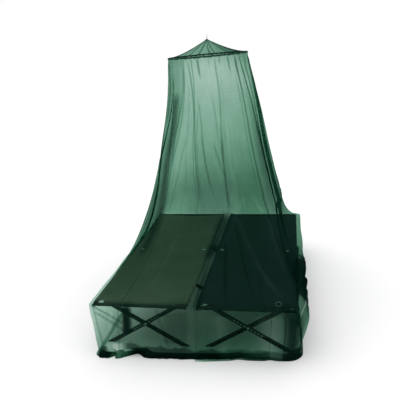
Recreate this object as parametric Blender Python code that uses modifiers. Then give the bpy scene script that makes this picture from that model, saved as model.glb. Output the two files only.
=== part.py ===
"""A mosquito net canopy over two folding camp cots that stand side by side.

The net hangs from one small ceiling hook. Its roof is a shallow cone of six gores, held open by a round hoop,
and its skirt flares from the hoop over the edges of the cots, falls to the floor and lies there in low folds.

Metres, +Z up. The origin is on the floor, in the middle under the cots, and -Y is the foot end.
An azimuth is in degrees round the net, seen from above: 0 at the foot end (-Y), 90 on the right (+X).
"""

import math
from collections import namedtuple

import bmesh
import bpy
import numpy as np
from mathutils import Matrix, Vector

# ---------------------------------------------------------------- driving dimensions

GAP = 0.0003  # between pieces that touch

COT_LENGTH = 1.90
COT_WIDTH = 0.65
COTS_APART = 0.06
COT_HEIGHT = 0.374  # floor to the canvas over a rail
RAIL_RADIUS = 0.0125
CANVAS_THICKNESS = 0.0025
CANVAS_SAG = 0.014
CANVAS_SHORTER = 0.030  # the canvas ends this far inside the rails' ends
CANVAS_WRAP = 195.0  # degrees, where the canvas's edge lies round its left rail, from +X

LEG_WIDTH = 0.028
LEG_THICKNESS = 0.012
LEG_FRAMES_Y = (-0.83, 0.0, 0.83)
FOOT_INSET = 0.038  # from a rail's centre line to the middle of a leg's foot
LEG_TOP_INSET = 0.010  # and to the middle of a leg's top
LEG_SPARE = 0.10  # what is cut off a leg's bar at its two ends together
PIVOT_RADIUS = 0.004
PIVOT_HEAD_RADIUS = 0.008
PIVOT_HEAD = 0.003

PLATE_LENGTH = 0.032
PLATE_WIDTH = 0.018
PLATE_THICKNESS = 0.003
PLATE_INSET = 0.062  # from an outer rail's centre line to the middle of a plate
INNER_PLATE_INSET = 0.034  # and from the rail in the middle of the pair
FOOT_PLATE = (0.046, -0.918)  # the foot end's plate: its distance from the left rail, and its y
RING_RADIUS = 0.019
RING_WIRE = 0.0015
RING_PLACE = (0.560, -0.880)
RING_OVAL = 0.9
RING_LEAN = 0.35  # how far the ring's back stands up, as a share of its radius
RING_STEPS = 20

NET_THICKNESS = 0.002
SEAM_GAP = 0.0008
FLOOR_SEAM_GAP = 0.0015  # wider where the cloth turns sharply on the floor
OVERLAP_GAP = 0.0090  # between the middles of the two panels that overlap at the entrance

HOOP_CENTRE = Vector((0.040, 0.0, 1.921))
HOOP_RADIUS = 0.290
HOOP_TUBE = 0.004
HOOP_TILT_X = 1.6  # degrees, the foot end lower
HOOP_TILT_Y = -1.4  # degrees, the left side lower
SLEEVE_DROP = 0.011  # the sleeve's lower edge under the hoop's centre line
SLEEVE_RISE = 0.0065
HOOP_STEPS = 48

TIE_AZIMUTH = 14.0
TIE_SIZE = (0.012, 0.004, 0.016)
TIE_OUT = 0.002  # the tie's middle stands this far off the sleeve

APEX_HEIGHT = 2.037
APEX_RADIUS = 0.012
APEX_DROP = 0.010
ROOF_SAG = 1.5  # power of the roof's hollow profile
ROOF_OVER_HOOP = 0.0052  # from the hoop's centre line up to the roof's edge
ROOF_SHORT = 0.0055  # and from it in to the roof's edge
ROOF_ROWS = (0.045, 0.090, 0.150, 0.215, 0.260)  # distances from the middle
GORE_SLACK = 0.006
GORE_COLUMNS = 6

LOOP_HEIGHT = 0.012
LOOP_HALF_WIDTH = 0.0040
LOOP_CORD = 0.001
HOOK_RADIUS = 0.005
HOOK_WIRE = 0.00125
HOOK_STEM = 0.0035
HOOK_SWEEP = (170.0, 450.0)  # degrees round the hook's bend, from its tip to under its stem
LOOP_STEPS = 16
HOOK_STEPS = 15
CEILING_PLATE_RADIUS = 0.009
CEILING_PLATE = 0.0015

# ---------------------------------------------------------------- tables

# One section of the skirt: where its four sides are, how round its corners are, and how deep its folds are.
# Slant is how much further back it lies for each metre to the right.
Section = namedtuple("Section", "height left right front back corner folds wander slant")

HANG = (
    Section(1.9093, -0.254, 0.334, -0.294, 0.294, 0.294, 0.000, 0.000, 0.000),
    Section(1.840, -0.252, 0.341, -0.293, 0.312, 0.290, 0.006, 0.000, 0.000),
    Section(1.722, -0.251, 0.363, -0.296, 0.352, 0.285, 0.010, 0.000, 0.000),
    Section(1.600, -0.262, 0.385, -0.314, 0.392, 0.280, 0.012, 0.000, 0.000),
    Section(1.478, -0.281, 0.407, -0.338, 0.431, 0.275, 0.014, 0.000, 0.000),
    Section(1.350, -0.306, 0.433, -0.376, 0.478, 0.270, 0.015, 0.000, 0.000),
    Section(1.219, -0.334, 0.459, -0.417, 0.527, 0.260, 0.016, 0.000, 0.000),
    Section(1.090, -0.357, 0.487, -0.452, 0.579, 0.250, 0.017, 0.000, 0.000),
    Section(0.960, -0.381, 0.515, -0.488, 0.631, 0.235, 0.018, 0.000, 0.000),
    Section(0.838, -0.411, 0.543, -0.532, 0.680, 0.215, 0.018, 0.000, 0.000),
    Section(0.716, -0.449, 0.569, -0.588, 0.729, 0.185, 0.017, 0.000, 0.000),
    Section(0.620, -0.490, 0.587, -0.650, 0.768, 0.155, 0.015, 0.000, 0.000),
    Section(0.532, -0.545, 0.606, -0.730, 0.812, 0.120, 0.012, 0.000, 0.000),
    Section(0.448, -0.608, 0.634, -0.828, 0.872, 0.080, 0.008, 0.000, 0.000),
    Section(0.387, -0.664, 0.668, -0.926, 0.934, 0.045, 0.002, 0.000, 0.000),
    Section(0.370, -0.6965, 0.698, -0.9675, 0.969, 0.030, 0.002, 0.000, 0.000),
    Section(0.345, -0.714, 0.738, -0.984, 0.990, 0.050, 0.006, 0.002, 0.000),
    Section(0.230, -0.712, 0.744, -0.988, 0.992, 0.055, 0.010, 0.004, 0.020),
    Section(0.100, -0.710, 0.728, -0.987, 0.992, 0.060, 0.012, 0.006, 0.045),
    Section(0.022, -0.712, 0.720, -0.990, 0.996, 0.065, 0.010, 0.008, 0.065),
)
# The skirt's last stretch on the floor: most panels turn under, the outer panel at the entrance turns out.
TURNED_UNDER = (
    Section(0.0015, -0.728, 0.728, -1.006, 1.008, 0.070, 0.000, 0.006, 0.072),
    Section(0.0240, -0.692, 0.698, -0.964, 0.966, 0.060, 0.000, 0.004, 0.060),
    Section(0.0015, -0.680, 0.684, -0.916, 0.918, 0.050, 0.000, 0.003, 0.050),
)
TURNED_OUT = (
    Section(0.0100, -0.720, 0.724, -1.010, 1.006, 0.070, 0.000, 0.005, 0.070),
    Section(0.0015, -0.732, 0.732, -1.028, 1.024, 0.070, 0.000, 0.005, 0.075),
)
FLOOR_FOLDS_TOP = 0.03  # below this height the cloth lies on the floor
BEND_WEIGHT = 0.14  # metres of edge that a radian of turning counts as, in spacing the columns
EDGE_ROW = 15  # the row of HANG that goes over the cots' edges

# A line down the skirt: its azimuth at the hoop, where it bends, and over the cots' edge.
Line = namedtuple("Line", "at_hoop at_bend bend at_edge")

ENTRANCE_EDGE = Line(20.0, 22.0, 0.62, 1.0)
HIDDEN_EDGE = Line(43.0, 41.0, 0.60, 27.0)
RIGHT_SEAM = Line(57.0, 55.0, 0.60, 49.0)
BACK_RIGHT_SEAM = Line(126.0, 130.0, 0.50, 138.0)
BACK_SEAM = Line(217.0, 210.0, 0.60, 199.0)
BACK_LEFT_SEAM = Line(263.0, 250.0, 0.60, 236.0)
FRONT_LEFT_SEAM = Line(334.0, 331.0, 0.50, 333.0)

# A skirt panel: between which two lines it lies, how far it stands out, and how it ends on the floor.
Panel = namedtuple("Panel", "name start end out columns floor")

PANELS = (
    Panel("skirt_front_left", FRONT_LEFT_SEAM, HIDDEN_EDGE, 0.0, 15, TURNED_UNDER),
    Panel("skirt_front_right", ENTRANCE_EDGE, RIGHT_SEAM, OVERLAP_GAP, 9, TURNED_OUT),
    Panel("skirt_right", RIGHT_SEAM, BACK_RIGHT_SEAM, 0.0, 17, TURNED_UNDER),
    Panel("skirt_back_right", BACK_RIGHT_SEAM, BACK_SEAM, 0.0, 14, TURNED_UNDER),
    Panel("skirt_back_left", BACK_SEAM, BACK_LEFT_SEAM, 0.0, 9, TURNED_UNDER),
    Panel("skirt_left", BACK_LEFT_SEAM, FRONT_LEFT_SEAM, 0.0, 17, TURNED_UNDER),
)

# A main fold: its line, its half width in degrees, and its height as a share of a section's folds.
Fold = namedtuple("Fold", "line width height")

FOLDS = (
    Fold(Line(350.0, 350.0, 0.50, 350.0), 9.0, -0.8),
    Fold(Line(6.0, 5.0, 0.60, 352.0), 8.0, 0.7),
    Fold(Line(31.0, 33.0, 0.60, 31.0), 7.0, 1.0),
    Fold(Line(71.0, 72.0, 0.60, 64.0), 7.0, -1.2),
    Fold(Line(84.0, 82.0, 0.60, 77.0), 6.0, 1.4),
    Fold(Line(98.0, 99.0, 0.60, 95.0), 8.0, -1.0),
    Fold(Line(113.0, 116.0, 0.50, 118.0), 7.0, 0.9),
    Fold(Line(144.0, 146.0, 0.50, 152.0), 8.0, -0.8),
    Fold(Line(163.0, 164.0, 0.50, 166.0), 8.0, 0.9),
    Fold(Line(190.0, 188.0, 0.50, 182.0), 9.0, -0.9),
    Fold(Line(236.0, 232.0, 0.50, 224.0), 8.0, 0.8),
    Fold(Line(276.0, 270.0, 0.50, 262.0), 8.0, -1.0),
    Fold(Line(290.0, 288.0, 0.50, 286.0), 7.0, 1.3),
    Fold(Line(305.0, 304.0, 0.50, 303.0), 7.0, -1.1),
    Fold(Line(319.0, 317.0, 0.50, 314.0), 6.0, 1.0),
)

# A slow wave round the hem, with how many of it go round the net.
Wave = namedtuple("Wave", "count phase height")

WANDER = (
    Wave(3, 0.6, 0.5),
    Wave(7, 2.0, 0.4),
    Wave(13, 1.0, 0.3),
)

ROOF_SEAMS = (349.0, 409.0, 469.0, 537.0, 593.0, 651.0)  # azimuths of the seams between the gores

Finish = namedtuple("Finish", "colour roughness metallic")

FINISHES = {
    "net": Finish((0.045, 0.130, 0.085), 0.80, 0.0),
    "net_band": Finish((0.012, 0.045, 0.030), 0.85, 0.0),
    "canvas_olive": Finish((0.060, 0.110, 0.065), 0.90, 0.0),
    "canvas_dark": Finish((0.014, 0.045, 0.038), 0.90, 0.0),
    "painted_steel": Finish((0.012, 0.022, 0.018), 0.45, 0.3),
    "bare_steel": Finish((0.550, 0.560, 0.550), 0.35, 1.0),
    "hoop_plastic": Finish((0.015, 0.040, 0.028), 0.50, 0.0),
}


# ---------------------------------------------------------------- helpers


def clear_scene():
    """Remove every object of the scene that the script starts in."""
    for thing in list(bpy.data.objects):
        bpy.data.objects.remove(thing, do_unlink=True)


def new_collection(name):
    """A collection of its own, linked to the scene."""
    made = bpy.data.collections.new(name)
    bpy.context.scene.collection.children.link(made)
    return made


def finish_material(name):
    """The Principled material of a finish, made once."""
    made = bpy.data.materials.get(name)
    if made is None:
        finish = FINISHES[name]
        made = bpy.data.materials.new(name)
        made.use_nodes = True
        shader = made.node_tree.nodes["Principled BSDF"]
        shader.inputs["Base Color"].default_value = (*finish.colour, 1.0)
        shader.inputs["Roughness"].default_value = finish.roughness
        shader.inputs["Metallic"].default_value = finish.metallic
    return made


def add_piece(name, data, finish):
    """Put a mesh or curve into the part's collection under its node's name."""
    piece = bpy.data.objects.new(name, data)
    data.materials.append(finish_material(finish))
    bpy.data.collections["mosquito_net_canopy"].objects.link(piece)
    return piece


def add_bmesh(name, shape, finish, smooth=False):
    """Turn a bmesh into a named piece."""
    data = bpy.data.meshes.new(name)
    shape.to_mesh(data)
    shape.free()
    if smooth:
        data.shade_smooth()
    return add_piece(name, data, finish)


def add_grid(name, points, finish, thickness):
    """A sheet through a rows x columns grid of points, thickened half to each side.

    The rows run down the outside of the sheet and the columns to the right of someone who faces it."""
    rows, columns = points.shape[:2]
    index = np.arange(rows * columns).reshape(rows, columns)
    quads = np.stack((index[:-1, :-1], index[1:, :-1], index[1:, 1:], index[:-1, 1:]), axis=-1)
    data = bpy.data.meshes.new(name)
    data.from_pydata(points.reshape(-1, 3).tolist(), [], quads.reshape(-1, 4).tolist())
    data.shade_smooth()
    piece = add_piece(name, data, finish)
    wall = piece.modifiers.new("Thickness", "SOLIDIFY")
    wall.thickness = thickness
    wall.offset = 0.0
    return piece


def add_tube(name, points, radius, finish, cyclic=False):
    """A round wire or tube along a line of points."""
    curve = bpy.data.curves.new(name, "CURVE")
    curve.dimensions = "3D"
    curve.bevel_depth = radius
    curve.bevel_resolution = 2
    curve.use_fill_caps = not cyclic
    line = curve.splines.new("POLY")
    line.points.add(len(points) - 1)
    for spot, place in zip(line.points, points):
        spot.co = (*place, 1.0)
    line.use_cyclic_u = cyclic
    return add_piece(name, curve, finish)


def add_turned(name, profile, finish, steps, closed=False):
    """Turn a profile of (radius, height) pairs, running down its outer side, round the Z axis."""
    shape = bmesh.new()
    verts = [shape.verts.new((radius, 0.0, height)) for radius, height in profile]
    for first, second in zip(verts, verts[1:]):
        shape.edges.new((first, second))
    if closed:
        shape.edges.new((verts[-1], verts[0]))
    piece = add_bmesh(name, shape, finish, smooth=True)
    screw = piece.modifiers.new("Turn", "SCREW")
    screw.steps = steps
    screw.render_steps = steps
    screw.use_merge_vertices = True
    screw.merge_threshold = 0.00005
    return piece


# ---------------------------------------------------------------- cots


def add_rail(name, x):
    """A side rail: a straight tube from the foot end to the head end."""
    height = COT_HEIGHT - CANVAS_THICKNESS - GAP - RAIL_RADIUS
    ends = ((x, -COT_LENGTH / 2, height), (x, COT_LENGTH / 2, height))
    return add_tube(name, ends, RAIL_RADIUS, "painted_steel")


def add_end_bar(name, x_from, x_to, side):
    """The bar between the two rails at the foot end (side -1) or head end (side 1)."""
    height = COT_HEIGHT - CANVAS_THICKNESS - GAP - RAIL_RADIUS
    y = side * (COT_LENGTH / 2 - RAIL_RADIUS)
    clear = RAIL_RADIUS + GAP
    ends = ((x_from + clear, y, height), (x_to - clear, y, height))
    return add_tube(name, ends, RAIL_RADIUS, "painted_steel")


def canvas_section(x_from, x_to):
    """The canvas across the cot: round the outside of one rail, slack to the other, and round that.

    Each end is an arc round its rail, and between them the sheet hangs in a shallow parabola."""
    reach = RAIL_RADIUS + GAP + CANVAS_THICKNESS / 2
    rail_height = COT_HEIGHT - CANVAS_THICKNESS - GAP - RAIL_RADIUS
    turn = np.radians(np.linspace(CANVAS_WRAP, 90.0, 6))
    left = np.stack((x_from + reach * np.cos(turn), rail_height + reach * np.sin(turn)), axis=1)
    share = np.linspace(0.0, 1.0, 9)[1:-1]
    middle = np.stack(
        (
            x_from + (x_to - x_from) * share,
            rail_height + reach - 4 * CANVAS_SAG * share * (1 - share),
        ),
        axis=1,
    )
    right = left[::-1] * (-1.0, 1.0) + (x_from + x_to, 0.0)
    return np.concatenate((left, middle, right))


def add_canvas(name, x_from, x_to, finish):
    """The cot's canvas, a sheet that wraps both rails."""
    section = canvas_section(x_from, x_to)
    rows = np.linspace(COT_LENGTH / 2 - CANVAS_SHORTER, -COT_LENGTH / 2 + CANVAS_SHORTER, 5)
    points = np.empty((len(rows), len(section), 3))
    points[..., 0] = section[:, 0]
    points[..., 1] = rows[:, None]
    points[..., 2] = section[:, 1]
    return add_grid(name, points, finish, CANVAS_THICKNESS)


def leg_ends(x_from, x_to, lean):
    """Where a leg meets the floor and its rail, for a leg that leans right (1) or left (-1)."""
    low, high = x_from + FOOT_INSET, x_to - LEG_TOP_INSET
    if lean < 0:
        low, high = x_to - FOOT_INSET, x_from + LEG_TOP_INSET
    top = COT_HEIGHT - CANVAS_THICKNESS - 2 * GAP - 2 * RAIL_RADIUS - GAP
    return Vector((low, 0.0, 0.0)), Vector((high, 0.0, top))


def legs_cross(x_from, x_to):
    """Where the centre lines of a pair of legs cross."""
    low, high = leg_ends(x_from, x_to, 1)
    return low.lerp(high, ((x_from + x_to) / 2 - low.x) / (high.x - low.x))


def add_leg(name, x_from, x_to, y, lean, cutters):
    """A flat bar from the floor to a rail, cut level at both ends, with a hole for the pivot."""
    low, high = leg_ends(x_from, x_to, lean)
    middle = (low + high) / 2
    along = high - low
    slope = math.atan2(along.z, along.x)
    shape = bmesh.new()
    bmesh.ops.create_cube(shape, size=1.0)
    bmesh.ops.scale(shape, vec=(along.length + LEG_SPARE, LEG_THICKNESS, LEG_WIDTH), verts=shape.verts)
    bmesh.ops.rotate(shape, matrix=Matrix.Rotation(-slope, 3, "Y"), verts=shape.verts)
    side = lean * (LEG_THICKNESS + GAP) / 2
    bmesh.ops.translate(shape, vec=(middle.x, y + side, middle.z), verts=shape.verts)
    for height, keep in ((high.z, 1.0), (low.z, -1.0)):
        geometry = shape.verts[:] + shape.edges[:] + shape.faces[:]
        cut = bmesh.ops.bisect_plane(
            shape, geom=geometry, plane_co=(0, 0, height), plane_no=(0, 0, keep), clear_outer=True
        )
        rim = [edge for edge in cut["geom_cut"] if isinstance(edge, bmesh.types.BMEdge)]
        bmesh.ops.contextual_create(shape, geom=rim)
    bmesh.ops.recalc_face_normals(shape, faces=shape.faces)
    leg = add_bmesh(name, shape, "painted_steel")
    hole = leg.modifiers.new("Pivot hole", "BOOLEAN")
    hole.operation = "DIFFERENCE"
    hole.object = pivot_cutter(name, legs_cross(x_from, x_to) + Vector((0.0, y, 0.0)), cutters)
    return leg


def pivot_cutter(name, place, cutters):
    """The cylinder that cuts a leg's pivot hole."""
    shape = bmesh.new()
    turn = Matrix.Translation(place) @ Matrix.Rotation(math.pi / 2, 4, "X")
    bmesh.ops.create_cone(
        shape,
        cap_ends=True,
        segments=12,
        radius1=PIVOT_RADIUS + GAP,
        radius2=PIVOT_RADIUS + GAP,
        depth=4 * LEG_THICKNESS,
        matrix=turn,
    )
    data = bpy.data.meshes.new(name + "_cutter")
    shape.to_mesh(data)
    shape.free()
    cutter = bpy.data.objects.new(name + "_cutter", data)
    cutter.hide_render = True
    cutter.display_type = "WIRE"
    cutters.objects.link(cutter)
    return cutter


def add_pivot(name, x_from, x_to, y):
    """The rivet that two legs turn on, with a head at each end."""
    reach = LEG_THICKNESS + GAP / 2 + GAP
    profile = (
        (0.0, reach + PIVOT_HEAD),
        (PIVOT_HEAD_RADIUS * 0.6, reach + PIVOT_HEAD),
        (PIVOT_HEAD_RADIUS, reach + PIVOT_HEAD * 0.4),
        (PIVOT_HEAD_RADIUS, reach),
        (PIVOT_RADIUS, reach),
        (PIVOT_RADIUS, -reach),
        (PIVOT_HEAD_RADIUS, -reach),
        (PIVOT_HEAD_RADIUS, -reach - PIVOT_HEAD * 0.4),
        (PIVOT_HEAD_RADIUS * 0.6, -reach - PIVOT_HEAD),
        (0.0, -reach - PIVOT_HEAD),
    )
    pivot = add_turned(name, profile, "bare_steel", 12)
    pivot.location = legs_cross(x_from, x_to) + Vector((0.0, y, 0.0))
    pivot.rotation_euler = (math.pi / 2, 0.0, 0.0)
    return pivot


def canvas_top(x, x_from, x_to):
    """The height of the canvas's upper face at x."""
    share = (x - x_from) / (x_to - x_from)
    return COT_HEIGHT - 4 * CANVAS_SAG * share * (1 - share)


def add_strap_plate(name, x, y, x_from, x_to):
    """A small oval plate riveted on the canvas over the end of a strap."""
    half = PLATE_LENGTH / 2
    height = max(canvas_top(x - half, x_from, x_to), canvas_top(x + half, x_from, x_to))
    shape = bmesh.new()
    bmesh.ops.create_cone(
        shape,
        cap_ends=True,
        segments=16,
        radius1=half,
        radius2=half - PLATE_THICKNESS / 2,
        depth=PLATE_THICKNESS,
    )
    bmesh.ops.scale(shape, vec=(1.0, PLATE_WIDTH / PLATE_LENGTH, 1.0), verts=shape.verts)
    bmesh.ops.translate(shape, vec=(x, y, height + GAP + PLATE_THICKNESS / 2), verts=shape.verts)
    return add_bmesh(name, shape, "bare_steel")


def add_strap_ring(name, x, y):
    """The wire ring that lies at the foot end of the right cot."""
    low = canvas_top(x, COTS_APART / 2 + RAIL_RADIUS, COTS_APART / 2 + COT_WIDTH - RAIL_RADIUS)
    low += RING_WIRE + GAP
    turn = np.linspace(0.0, 2 * math.pi, RING_STEPS, endpoint=False)
    points = np.stack(
        (
            x + RING_RADIUS * np.cos(turn),
            y + RING_RADIUS * RING_OVAL * np.sin(turn),
            low + RING_RADIUS * RING_LEAN * (1 + np.sin(turn)),
        ),
        axis=1,
    )
    return add_tube(name, points, RING_WIRE, "bare_steel", cyclic=True)


def add_cot(side, name, finish, cutters):
    """One folding camp cot, on the left (side -1) or right (side 1) of the middle."""
    inner = side * (COTS_APART / 2 + RAIL_RADIUS)
    outer = side * (COTS_APART / 2 + COT_WIDTH - RAIL_RADIUS)
    x_from, x_to = sorted((inner, outer))
    add_canvas(name + "_canvas", x_from, x_to, finish)
    add_rail(name + "_rail_left", x_from)
    add_rail(name + "_rail_right", x_to)
    add_end_bar(name + "_bar_foot", x_from, x_to, -1)
    add_end_bar(name + "_bar_head", x_from, x_to, 1)
    for place, y in zip(("foot", "middle", "head"), LEG_FRAMES_Y):
        add_leg(f"{name}_leg_{place}_a", x_from, x_to, y, 1, cutters)
        add_leg(f"{name}_leg_{place}_b", x_from, x_to, y, -1, cutters)
        add_pivot(f"{name}_pivot_{place}", x_from, x_to, y)
    add_strap_plate(name + "_plate_outer", outer - side * PLATE_INSET, 0.0, x_from, x_to)
    add_strap_plate(name + "_plate_inner", inner + side * INNER_PLATE_INSET, 0.0, x_from, x_to)
    add_strap_plate(name + "_plate_foot", x_from + FOOT_PLATE[0], FOOT_PLATE[1], x_from, x_to)


# ---------------------------------------------------------------- the net


def line_azimuth(line, share):
    """The azimuth of a line at a share of the way down from the hoop (0) to the cots' edge (1).

    Two smooth stretches, before and after the bend. Below the edge the line hangs straight."""
    share = np.clip(share, 0.0, 1.0)
    upper = np.clip(share / line.bend, 0.0, 1.0)
    lower = np.clip((share - line.bend) / (1.0 - line.bend), 0.0, 1.0)
    ease = lower * lower * (3.0 - 2.0 * lower)
    return line.at_hoop + (line.at_bend - line.at_hoop) * upper + (line.at_edge - line.at_bend) * ease


def fall_share(row):
    """How far down a section is, from the hoop (0) to the cots' edge (1), by the height it hangs at."""
    top, edge = HANG[0].height, HANG[EDGE_ROW].height
    height = HANG[min(row, EDGE_ROW)].height
    return (top - height) / (top - edge)


def rounded_reach(turn, half_x, half_y, corner):
    """How far a rectangle with rounded corners reaches from its middle, for each azimuth in radians.

    It is the nearer of the two straight sides, and within a corner the far side of the corner's circle."""
    side, end = np.abs(np.sin(turn)), np.abs(np.cos(turn))
    straight = np.minimum(half_x / np.maximum(side, 1e-9), half_y / np.maximum(end, 1e-9))
    inner_x, inner_y = half_x - corner, half_y - corner
    along = side * inner_x + end * inner_y
    inside = along**2 - (inner_x**2 + inner_y**2 - corner**2)
    arc = along + np.sqrt(np.maximum(inside, 0.0))
    in_corner = (straight * side > inner_x) & (straight * end > inner_y)
    return np.where(in_corner, arc, straight)


def hoop_lift(x, y):
    """How far the tilted hoop stands above its level place at x, y."""
    slope_x = -math.tan(math.radians(HOOP_TILT_Y))
    slope_y = math.tan(math.radians(HOOP_TILT_X))
    return (x - HOOP_CENTRE.x) * slope_x + (y - HOOP_CENTRE.y) * slope_y


def fold_height(azimuth, share):
    """The height of the main folds: a smooth ridge or trough along each fold's line."""
    height = np.zeros_like(azimuth)
    for fold in FOLDS:
        away = (azimuth - line_azimuth(fold.line, share) + 180.0) % 360.0 - 180.0
        height += fold.height * np.exp(-((away / fold.width) ** 2))
    return height


def skirt_row(section, azimuth, share):
    """A section's points at the given azimuths, with its folds and its wander, and how far each reaches."""
    turn = np.radians(azimuth)
    half_x, half_y = (section.right - section.left) / 2, (section.back - section.front) / 2
    corner = min(section.corner, half_x, half_y)
    reach = rounded_reach(turn, half_x, half_y, corner)
    wander = sum(wave.height * np.sin(wave.count * turn + wave.phase) for wave in WANDER)
    reach = reach + section.folds * fold_height(azimuth, share) + section.wander * wander
    x = (section.left + section.right) / 2 + reach * np.sin(turn)
    y = (section.front + section.back) / 2 - reach * np.cos(turn) + section.slant * x
    lift = hoop_lift(x, y) * max(0.0, 1.0 - share) ** 2
    return np.stack((x, y, section.height + lift), axis=1), reach


def panel_span(panel, share):
    """The azimuths between which a panel lies."""
    first, last = line_azimuth(panel.start, share), line_azimuth(panel.end, share)
    return first, last + (360.0 if last < first else 0.0)


def column_shares(panel):
    """Where a panel's columns lie between its sides, closer together round the cots' corners.

    Along the cots' edge, each takes an equal part of the length plus BEND_WEIGHT for each radian turned."""
    first, last = panel_span(panel, 1.0)
    fine = np.linspace(0.0, 1.0, 400)
    edge = skirt_row(HANG[EDGE_ROW], first + (last - first) * fine, 1.0)[0][:, :2]
    step = np.diff(edge, axis=0)
    heading = np.unwrap(np.arctan2(step[:, 1], step[:, 0]))
    weight = np.linalg.norm(step, axis=1) + BEND_WEIGHT * np.abs(np.gradient(heading))
    total = np.concatenate(([0.0], np.cumsum(weight)))
    return np.interp(np.linspace(0.0, total[-1], panel.columns), total, fine)


def stand_off(points):
    """The outward normal of a sheet's grid, a third as long in its top row, and level on the floor."""
    normal = np.cross(np.gradient(points, axis=0), np.gradient(points, axis=1))
    normal /= np.linalg.norm(normal, axis=2, keepdims=True)
    normal[0] /= 3.0
    normal[points[..., 2] < FLOOR_FOLDS_TOP] *= (1.0, 1.0, 0.0)
    return normal


def add_skirt_panel(panel):
    """One panel of the skirt, between two of its lines, from the sleeve to its hem on the floor."""
    sections = HANG + panel.floor
    points = np.empty((len(sections), panel.columns, 3))
    ends = np.zeros(panel.columns)
    ends[0], ends[-1] = 1.0, -1.0
    across = column_shares(panel)
    for row, section in enumerate(sections):
        share = fall_share(row)
        first, last = panel_span(panel, share)
        azimuth = first + (last - first) * across
        reach = skirt_row(section, azimuth, share)[1]
        seam = SEAM_GAP if row <= EDGE_ROW else FLOOR_SEAM_GAP
        azimuth = azimuth + ends * math.degrees(seam / 2) / reach
        points[row] = skirt_row(section, azimuth, share)[0]
    if panel.out:
        points += panel.out * stand_off(points)
    return add_grid(panel.name, points, "net", NET_THICKNESS)


def roof_height(reach):
    """The roof's hollow profile: the height over the hoop at a distance from the middle."""
    rise = APEX_HEIGHT - APEX_DROP / 2 - HOOP_CENTRE.z
    return rise * (1.0 - reach / HOOP_RADIUS) ** ROOF_SAG


def add_gore(name, first, last):
    """One gore of the roof, from the apex cap to the hoop's sleeve."""
    inner = APEX_RADIUS + GAP + NET_THICKNESS / 3
    reach = np.array([inner, *ROOF_ROWS, HOOP_RADIUS - ROOF_SHORT])
    across = np.linspace(0.0, 1.0, GORE_COLUMNS)
    points = np.empty((len(reach), len(across), 3))
    for row, away in enumerate(reach):
        seam = math.degrees(SEAM_GAP / 2 / away)
        turn = np.radians(first + seam + (last - first - 2 * seam) * across)
        slack = GORE_SLACK * math.sin(math.pi * away / HOOP_RADIUS) * np.sin(math.pi * across)
        points[row, :, 0] = HOOP_CENTRE.x + away * np.sin(turn)
        points[row, :, 1] = HOOP_CENTRE.y - away * np.cos(turn)
        lift = hoop_lift(points[row, :, 0], points[row, :, 1])
        points[row, :, 2] = HOOP_CENTRE.z + ROOF_OVER_HOOP + roof_height(away) - slack + lift
    return add_grid(name, points, "net", NET_THICKNESS)


def tilt_with_hoop(piece):
    """Place a piece that was made round the origin at the hoop, tilted as the hoop hangs."""
    piece.location = HOOP_CENTRE
    piece.rotation_euler = (math.radians(HOOP_TILT_X), math.radians(HOOP_TILT_Y), 0.0)
    return piece


def add_hoop():
    """The round hoop inside the sleeve."""
    turn = np.linspace(0.0, 2 * math.pi, HOOP_STEPS, endpoint=False)
    points = HOOP_RADIUS * np.stack((np.sin(turn), -np.cos(turn), np.zeros(HOOP_STEPS)), axis=1)
    return tilt_with_hoop(add_tube("hoop", points, HOOP_TUBE, "hoop_plastic", cyclic=True))


def add_sleeve():
    """The band that wraps the hoop: its outer wall hangs below the hoop and its top turns in over it."""
    wall = HOOP_TUBE + GAP
    thick = NET_THICKNESS
    profile = (
        (HOOP_RADIUS - wall, SLEEVE_RISE),
        (HOOP_RADIUS + wall, SLEEVE_RISE),
        (HOOP_RADIUS + wall + thick, SLEEVE_RISE - thick),
        (HOOP_RADIUS + wall + thick, -SLEEVE_DROP),
        (HOOP_RADIUS + wall, -SLEEVE_DROP),
        (HOOP_RADIUS + wall, SLEEVE_RISE - thick),
        (HOOP_RADIUS - wall, SLEEVE_RISE - thick),
    )
    return tilt_with_hoop(add_turned("hoop_sleeve", profile, "net_band", HOOP_STEPS, closed=True))


def add_tie():
    """The small tie on the front of the sleeve, drawn up into a flat knot."""
    turn = math.radians(TIE_AZIMUTH)
    reach = HOOP_RADIUS + HOOP_TUBE + NET_THICKNESS + 2 * GAP + TIE_OUT
    place = (reach * math.sin(turn), -reach * math.cos(turn), -TIE_OUT)
    shape = bmesh.new()
    bmesh.ops.create_uvsphere(shape, u_segments=10, v_segments=6, radius=0.5)
    bmesh.ops.scale(shape, vec=TIE_SIZE, verts=shape.verts)
    bmesh.ops.rotate(shape, matrix=Matrix.Rotation(turn, 3, "Z"), verts=shape.verts)
    bmesh.ops.translate(shape, vec=place, verts=shape.verts)
    return tilt_with_hoop(add_bmesh("hoop_tie", shape, "net_band", smooth=True))


def add_apex():
    """The small cap that the gores are sewn to."""
    profile = (
        (0.0, 0.0),
        (APEX_RADIUS * 0.35, 0.0),
        (APEX_RADIUS * 0.7, -APEX_DROP * 0.4),
        (APEX_RADIUS, -APEX_DROP * 0.9),
        (APEX_RADIUS, -APEX_DROP),
        (0.0, -APEX_DROP),
    )
    cap = add_turned("apex_cap", profile, "net_band", 16)
    cap.location = (HOOP_CENTRE.x, HOOP_CENTRE.y, APEX_HEIGHT)
    return cap


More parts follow.
